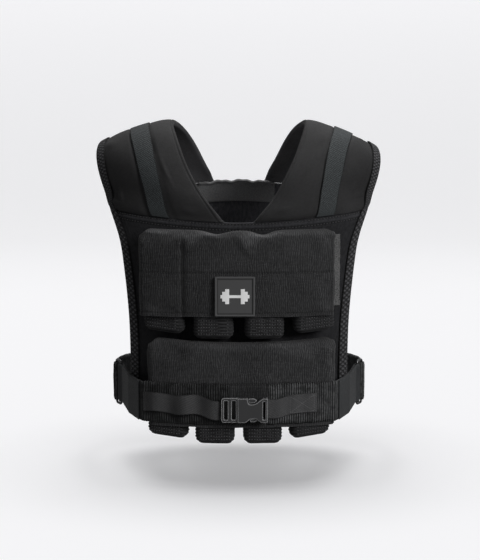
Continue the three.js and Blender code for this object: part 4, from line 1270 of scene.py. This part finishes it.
# Where each front band starts beside the buckle, and how much painted shade darkens its ribbed part, most on
# the left, away from the lamp
band_ends = {"left": 0.010, "right": 0.034}
band_painted_shade = {"left": -0.66, "right": -0.05}
for name, sign in (("left", -1), ("right", 1)):
    path = fold_round(front_path(band_ends[name]), front_leg, ring_outward, front_tail)
    place, total = band_place(path, sign, front_ribs, 3.0 + sign)

    def painted_light(u, v, side):
        from_tail = (1 - u) * total / 2
        return band_painted_shade[name] * ease((from_tail - 0.13) / 0.01)

    piece = bent_sheet("front_band_" + name, elastic, (round(total / elastic_pitch * 7), 16),
                       (total, belt_width), band_thickness, place, gather=(0, 0), painted_light=painted_light)
    piece.data.materials.append(tail_cloth)
    flat_map = piece.data.uv_layers["flat"].uv
    for face in piece.data.polygons:
        if flat_map[face.loop_indices[0]].vector.x > total / 2 - tail_on_top:
            face.material_index = 1
    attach(piece, "root")
    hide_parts("front_belt_" + name)

back_half = [around_torso(i / 8 * waist_arc, binding_out, -1) for i in range(9)]
back_half.append(around_torso(waist_arc + padding, binding_out, -1))
back_half.append(around_torso(half_girth / 2 - back_tail - leg_offset, band_thickness, -1))
folded_half = fold_round(back_half, back_leg, ring_outward, back_tail)
back_path = [Vector((-p.x, p.y)) for p in reversed(folded_half)] + folded_half[1:]
place, total = band_place(back_path, 1, lambda distance, total: 0.5, 11.0)
piece = bent_sheet("back_band", elastic, (round(total / elastic_pitch * 5), 12), (total, belt_width),
                   band_thickness, place, gather=(0, 0))
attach(piece, "root")
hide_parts("back_belt")


# Belt loops. Upright rounded rectangles of bent steel wire with a glossy black coat.
ring_metal = moulded_material("ring_metal", (0.03, 0.03, 0.032), 0.22, 0.00001, coat=0.6, metallic=0.3)
for name in ("left", "right"):
    bm = bmesh.new()
    bm.from_mesh(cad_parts["belt_ring_" + name].data)
    bmesh.ops.remove_doubles(bm, verts=bm.verts[:], dist=1e-6)
    piece = finish_mesh("belt_loop_" + name, bm, ring_metal)
    smooth = piece.modifiers.new("round", "SUBSURF")
    smooth.levels = smooth.render_levels = 2
    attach(piece, "root")
    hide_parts("belt_ring_" + name)


# Belt webbing. 25 mm nylon tape: the left one is the adjusting end and lies in loose waves, the right
# one is sewn down with a boxed cross.
buckle_drop = 0.006
webbing_out = belt_out + (band_thickness + webbing_thickness) / 2 + laid_gap
belt_webbing = cloth_material("belt_webbing", (0.007, 0.007, 0.0072), (0.048, 0.048, 0.0495), 0.7,
                              (0.0013, 0.0022), 0.0002, slant=0.5, uneven=0.2, lint=0.3, gloss=0.3)


def belt_webbing_point(tape, share, across, out):
    """share runs from the sewn outer end to the buckle, and across from -1 to 1."""
    arc = tape["outer"] + (tape["inner"] - tape["outer"]) * share
    calm = ease(share / 0.12) * ease((1 - share) / 0.15)
    swell = tape["waves"] * (0.5 - 0.5 * math.cos(share * math.tau * 3.3 + 0.6)) * calm
    drop = buckle_drop * ease((share - 0.35) / 0.5)
    sway = tape["waves"] * 0.35 * math.sin(share * math.tau * 2.2) * calm
    turn = tape["waves"] * 0.25 * across * math.sin(share * math.tau * 1.4)
    flat = around_torso(arc, webbing_out - webbing_thickness / 2 + out + swell + turn)
    return Vector((flat.x * tape["sign"], flat.y, belt_centre - drop + sway + across * webbing_width / 2))


left_inner = -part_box("webbing_left")[1].x
right_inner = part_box("webbing_right")[0].x
# The last entry of each tape lightens its colour: painted light, strongest on the right tape, which faces the
# lamp.
tapes = {
    "left": {"inner": left_inner, "outer": 0.108, "sign": -1, "waves": 0.0050, "painted_light_share": 0.1},
    "right": {"inner": right_inner, "outer": 0.088, "sign": 1, "waves": 0.0008, "painted_light_share": 0.5},
}
for name, tape in tapes.items():
    length = tape["outer"] - tape["inner"]
    piece = bent_sheet("belt_webbing_" + name, belt_webbing, (160, 18), (length, webbing_width),
                       webbing_thickness, lambda u, v, out: belt_webbing_point(tape, (1 - u) / 2, v, out),
                       gather=(0, 0.8), painted_light=lambda u, v, side: tape_edge_painted_shade(v, u, side) + tape["painted_light_share"])
    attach(piece, "root")
    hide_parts("webbing_" + name)

right_tape = tapes["right"]
box_near, box_far = 0.06, 0.52
corners = [(box_near, -0.84), (box_far, -0.84), (box_far, 0.84), (box_near, 0.84), (box_near, -0.84),
           (box_far, 0.84), (box_near, 0.84), (box_far, -0.84)]
seams = []
for (share0, across0), (share1, across1) in zip(corners, corners[1:]):
    def cross_point(t, out):
        share, across = share0 + (share1 - share0) * t, across0 + (across1 - across0) * t
        return belt_webbing_point(right_tape, share, across, webbing_thickness + out)

    seams.append(seam_line(cross_point, 24))
sew("boxed_cross_stitches", seams, pitch=0.0030, length=0.0026, width=0.0009)
seams = []
for share in (0.03, 0.055):
    def end_point(t, out):
        return belt_webbing_point(tapes["left"], share, 1.8 * t - 0.9, webbing_thickness + out)

    seams.append(seam_line(end_point, 12))
sew("webbing_end_stitches", seams, pitch=0.0030, length=0.0026, width=0.0008, thread=dark_thread)


# Side-release buckle. Two mouldings of black nylon: the latch is a frame with a ladder bar, whose two
# sprung prongs end in lugs; the receiver holds them and is pinched where thumb and finger press.
def round_corners(points, steps=5):
    rounded = []
    for i, (x, z, radius) in enumerate(points):
        corner = Vector((x, z))
        before = Vector(points[i - 1][:2]) - corner
        after = Vector(points[(i + 1) % len(points)][:2]) - corner
        start = corner + before.normalized() * min(radius, before.length * 0.45)
        end = corner + after.normalized() * min(radius, after.length * 0.45)
        for step in range(steps + 1):
            t = step / steps
            rounded.append(start.lerp(corner, t).lerp(corner.lerp(end, t), t))
    return rounded


def moulded_plate(name, loops, front_y, back_y, bevel):
    """Plates of the given outlines; an outline inside another one is a slot through it."""
    bm = bmesh.new()
    edges = []
    for loop in loops:
        points = round_corners(loop)
        verts = [bm.verts.new((p.x / 1000, back_y, buckle_centre + p.y / 1000)) for p in points]
        edges += [bm.edges.new(pair) for pair in zip(verts, verts[1:] + verts[:1])]
    bmesh.ops.triangle_fill(bm, use_beauty=True, use_dissolve=True, edges=edges)
    spread = bmesh.ops.extrude_face_region(bm, geom=bm.faces[:], use_keep_orig=True)
    moved = [item for item in spread["geom"] if isinstance(item, bmesh.types.BMVert)]
    bmesh.ops.translate(bm, verts=moved, vec=(0, front_y - back_y, 0))
    bmesh.ops.recalc_face_normals(bm, faces=bm.faces[:])
    piece = finish_mesh(name, bm, buckle_plastic)
    round_edges(piece, bevel, 50)
    return piece


def slot_through(left, right, half):
    return [(left, -half, 1), (right, -half, 1), (right, half, 1), (left, half, 1)]


def painted_edge_highlight(material, radius, colour):
    """A painted highlight: a thin light line mixed into the colour along moulded edges and lips."""
    tree = material.node_tree
    shader = tree.nodes["Principled BSDF"].inputs
    eased = tree.nodes.new("ShaderNodeBevel")
    eased.inputs["Radius"].default_value = radius
    geometry = tree.nodes.new("ShaderNodeNewGeometry")
    facing = tree.nodes.new("ShaderNodeVectorMath")
    facing.operation = "DOT_PRODUCT"
    tree.links.new(eased.outputs["Normal"], facing.inputs[0])
    tree.links.new(geometry.outputs["True Normal"], facing.inputs[1])
    turned = math_node(tree, "SUBTRACT", 1.0, facing.outputs["Value"])
    edge = math_node(tree, "MULTIPLY", turned, 9.0, clamp=True)
    base = shader["Base Color"].links[0].from_socket
    tree.links.new(mix_colours(tree, base, colour, edge), shader["Base Color"])


buckle_plastic = moulded_material("buckle_plastic", (0.030, 0.030, 0.031), 0.3, 0.00005)
painted_edge_highlight(buckle_plastic, 0.0012, (0.55, 0.55, 0.56))
buckle_centre = belt_centre - buckle_drop
latch_front, latch_back = [corner.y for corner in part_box("buckle_latch")]
receiver_front, receiver_back = [corner.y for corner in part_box("buckle_receiver")]
# Outlines as points of across, up and corner rounding in millimetres, from the middle of the buckle's height
latch_frame = [(-22, -15.5, 4), (-2, -15.5, 0.8), (-2, 15.5, 0.8), (-22, 15.5, 4)]
upper_lug = [(12.0, 9.2, 1), (20.0, 9.6, 2), (22.8, 12.4, 2), (19.5, 15.0, 2), (12.0, 15.0, 1)]
lower_lug = [(14.6, -11.4, 1), (14.0, -14.6, 1), (19.5, -15.0, 2), (23, -13.2, 1), (20.4, -11.2, 1)]
receiver_outline = [
    (-1.6, -15.5, 1), (8.3, -15.5, 2), (14.5, -10.4, 2), (20.8, -10.0, 2), (27.8, -15.3, 2), (36, -15.5, 1.5),
    (36, 15.5, 1.5), (30, 15.5, 2), (25.4, 12.4, 3), (20.6, 8.4, 3), (13.2, 7.9, 2), (11.2, 10, 1.5),
    (10.9, 15.5, 1.5), (-1.6, 15.5, 1),
]
latch_slots = [slot_through(-18.9, -13.8, 12.2), slot_through(-9.1, -3.8, 12.2)]
latch_loops = [latch_frame, *latch_slots, upper_lug, lower_lug]
piece = moulded_plate("buckle_latch_moulded", latch_loops, latch_front, latch_back, 0.0007)
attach(piece, "root")
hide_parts("buckle_latch")
receiver_loops = [receiver_outline, slot_through(30.0, 33.2, 11.6)]
piece = moulded_plate("buckle_receiver_moulded", receiver_loops, receiver_front, receiver_back, 0.0011)
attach(piece, "root")
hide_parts("buckle_receiver")


# Studio. A pale sweep for floor and wall, evenly lit from straight above so that the vest's soft shadow
# lies under it, and two soft lamps for the vest itself: one overhead and one from the front and right.
sky_strength = 0.25
sweep_shade = 0.8
floor_sun = 2.1
# The glow makes up what the lamps leave short of paper white, and on the upright wall what the sun misses.
paper_white = 0.925
sun_share = sweep_shade * floor_sun / math.pi
sweep_glow = paper_white - sweep_shade * sky_strength - sun_share
wall_lift = 0.045


def studio_material():
    material, tree, shader, place = new_material("pale_sweep")
    low, high = (sweep_shade - 0.004, sweep_shade + 0.004)
    mottle = noise_node(tree, place["Object"], 3)
    tint = mix_colours(tree, (low, low, low * 1.015), (high, high, high * 1.015), mottle)
    tree.links.new(tint, shader["Base Color"])
    shader["Roughness"].default_value = 1
    shader["Specular IOR Level"].default_value = 0
    facing = tree.nodes.new("ShaderNodeSeparateXYZ")
    tree.links.new(place["Normal"], facing.inputs[0])
    upright = math_node(tree, "SUBTRACT", 1.0, facing.outputs["Z"])
    glow = math_node(tree, "MULTIPLY_ADD", upright, sun_share + wall_lift, sweep_glow)
    shader["Emission Color"].default_value = (1, 1, 1.02, 1)
    tree.links.new(glow, shader["Emission Strength"])
    return material


floor_z = -0.457
sweep_radius = 1.6
sweep_front, sweep_back = -14.0, 2.6
sweep_half_width = 14.0
bm = bmesh.new()
profile = [bm.verts.new((-sweep_half_width, sweep_front, floor_z))]
for i in range(25):
    angle = i / 24 * math.pi / 2
    y = sweep_back + math.sin(angle) * sweep_radius
    z = floor_z + sweep_radius - math.cos(angle) * sweep_radius
    profile.append(bm.verts.new((-sweep_half_width, y, z)))
profile.append(bm.verts.new((-sweep_half_width, sweep_back + sweep_radius, floor_z + 5)))
edges = [bm.edges.new(pair) for pair in zip(profile, profile[1:])]
spread = bmesh.ops.extrude_edge_only(bm, edges=edges)
moved = [item for item in spread["geom"] if isinstance(item, bmesh.types.BMVert)]
bmesh.ops.translate(bm, verts=moved, vec=(2 * sweep_half_width, 0, 0))
bmesh.ops.recalc_face_normals(bm, faces=bm.faces[:])
sweep = finish_mesh("studio_sweep", bm, studio_material())
sweep.visible_diffuse = False
sweep.visible_glossy = False


def add_lamp(name, kind, place, aim, power, lights_sweep=False):
    """A lamp for the vest alone, or for the sweep alone."""
    data = bpy.data.lights.new(name, kind)
    data.energy = power
    lamp = bpy.data.objects.new(name, data)
    scene.collection.objects.link(lamp)
    direction = Vector(aim) - Vector(place)
    lamp.matrix_world = Matrix.Translation(place) @ direction.to_track_quat("-Z", "Y").to_matrix().to_4x4()
    receivers = bpy.data.collections.new(name + "_receivers")
    receivers.objects.link(sweep)
    if not lights_sweep:
        receivers.collection_objects[0].light_linking.link_state = "EXCLUDE"
    lamp.light_linking.receiver_collection = receivers
    return data


chest = (0, 0, -0.2)
add_lamp("overhead", "AREA", place=(0.2, 0.6, 1.75), aim=chest, power=38).size = 1.2
add_lamp("front_right", "AREA", place=(1.7, -1.7, 0.9), aim=chest, power=56).size = 1.0
sun = add_lamp("floor_light", "SUN", place=(0, 0, 3), aim=(0, 0, 0), power=floor_sun, lights_sweep=True)
sun.angle = math.radians(60)
world = bpy.data.worlds.new("studio_air")
scene.world = world
world.use_nodes = True
world.node_tree.nodes["Background"].inputs["Color"].default_value = (1, 1, 1.01, 1)
world.node_tree.nodes["Background"].inputs["Strength"].default_value = sky_strength

# Camera. It looks at the middle of the vest from 1.8 m, eight degrees above level.
camera_distance = 1.8
camera_elevation = math.radians(8)
image_height = 560
focal_pixels = 1340
middle = Vector((0.0013, 0, -0.205))
camera_data = bpy.data.cameras.new("camera")
camera_data.sensor_fit = "VERTICAL"
camera_data.sensor_height = 36
camera_data.lens = 36 * focal_pixels / image_height
camera_data.clip_end = 50
camera = bpy.data.objects.new("camera", camera_data)
scene.collection.objects.link(camera)
eye = middle + Vector((0, -math.cos(camera_elevation), math.sin(camera_elevation))) * camera_distance
camera.matrix_world = Matrix.Translation(eye) @ (middle - eye).to_track_quat("-Z", "Y").to_matrix().to_4x4()
scene.camera = camera
scene.view_settings.view_transform = "Standard"

bpy.context.view_layer.update()
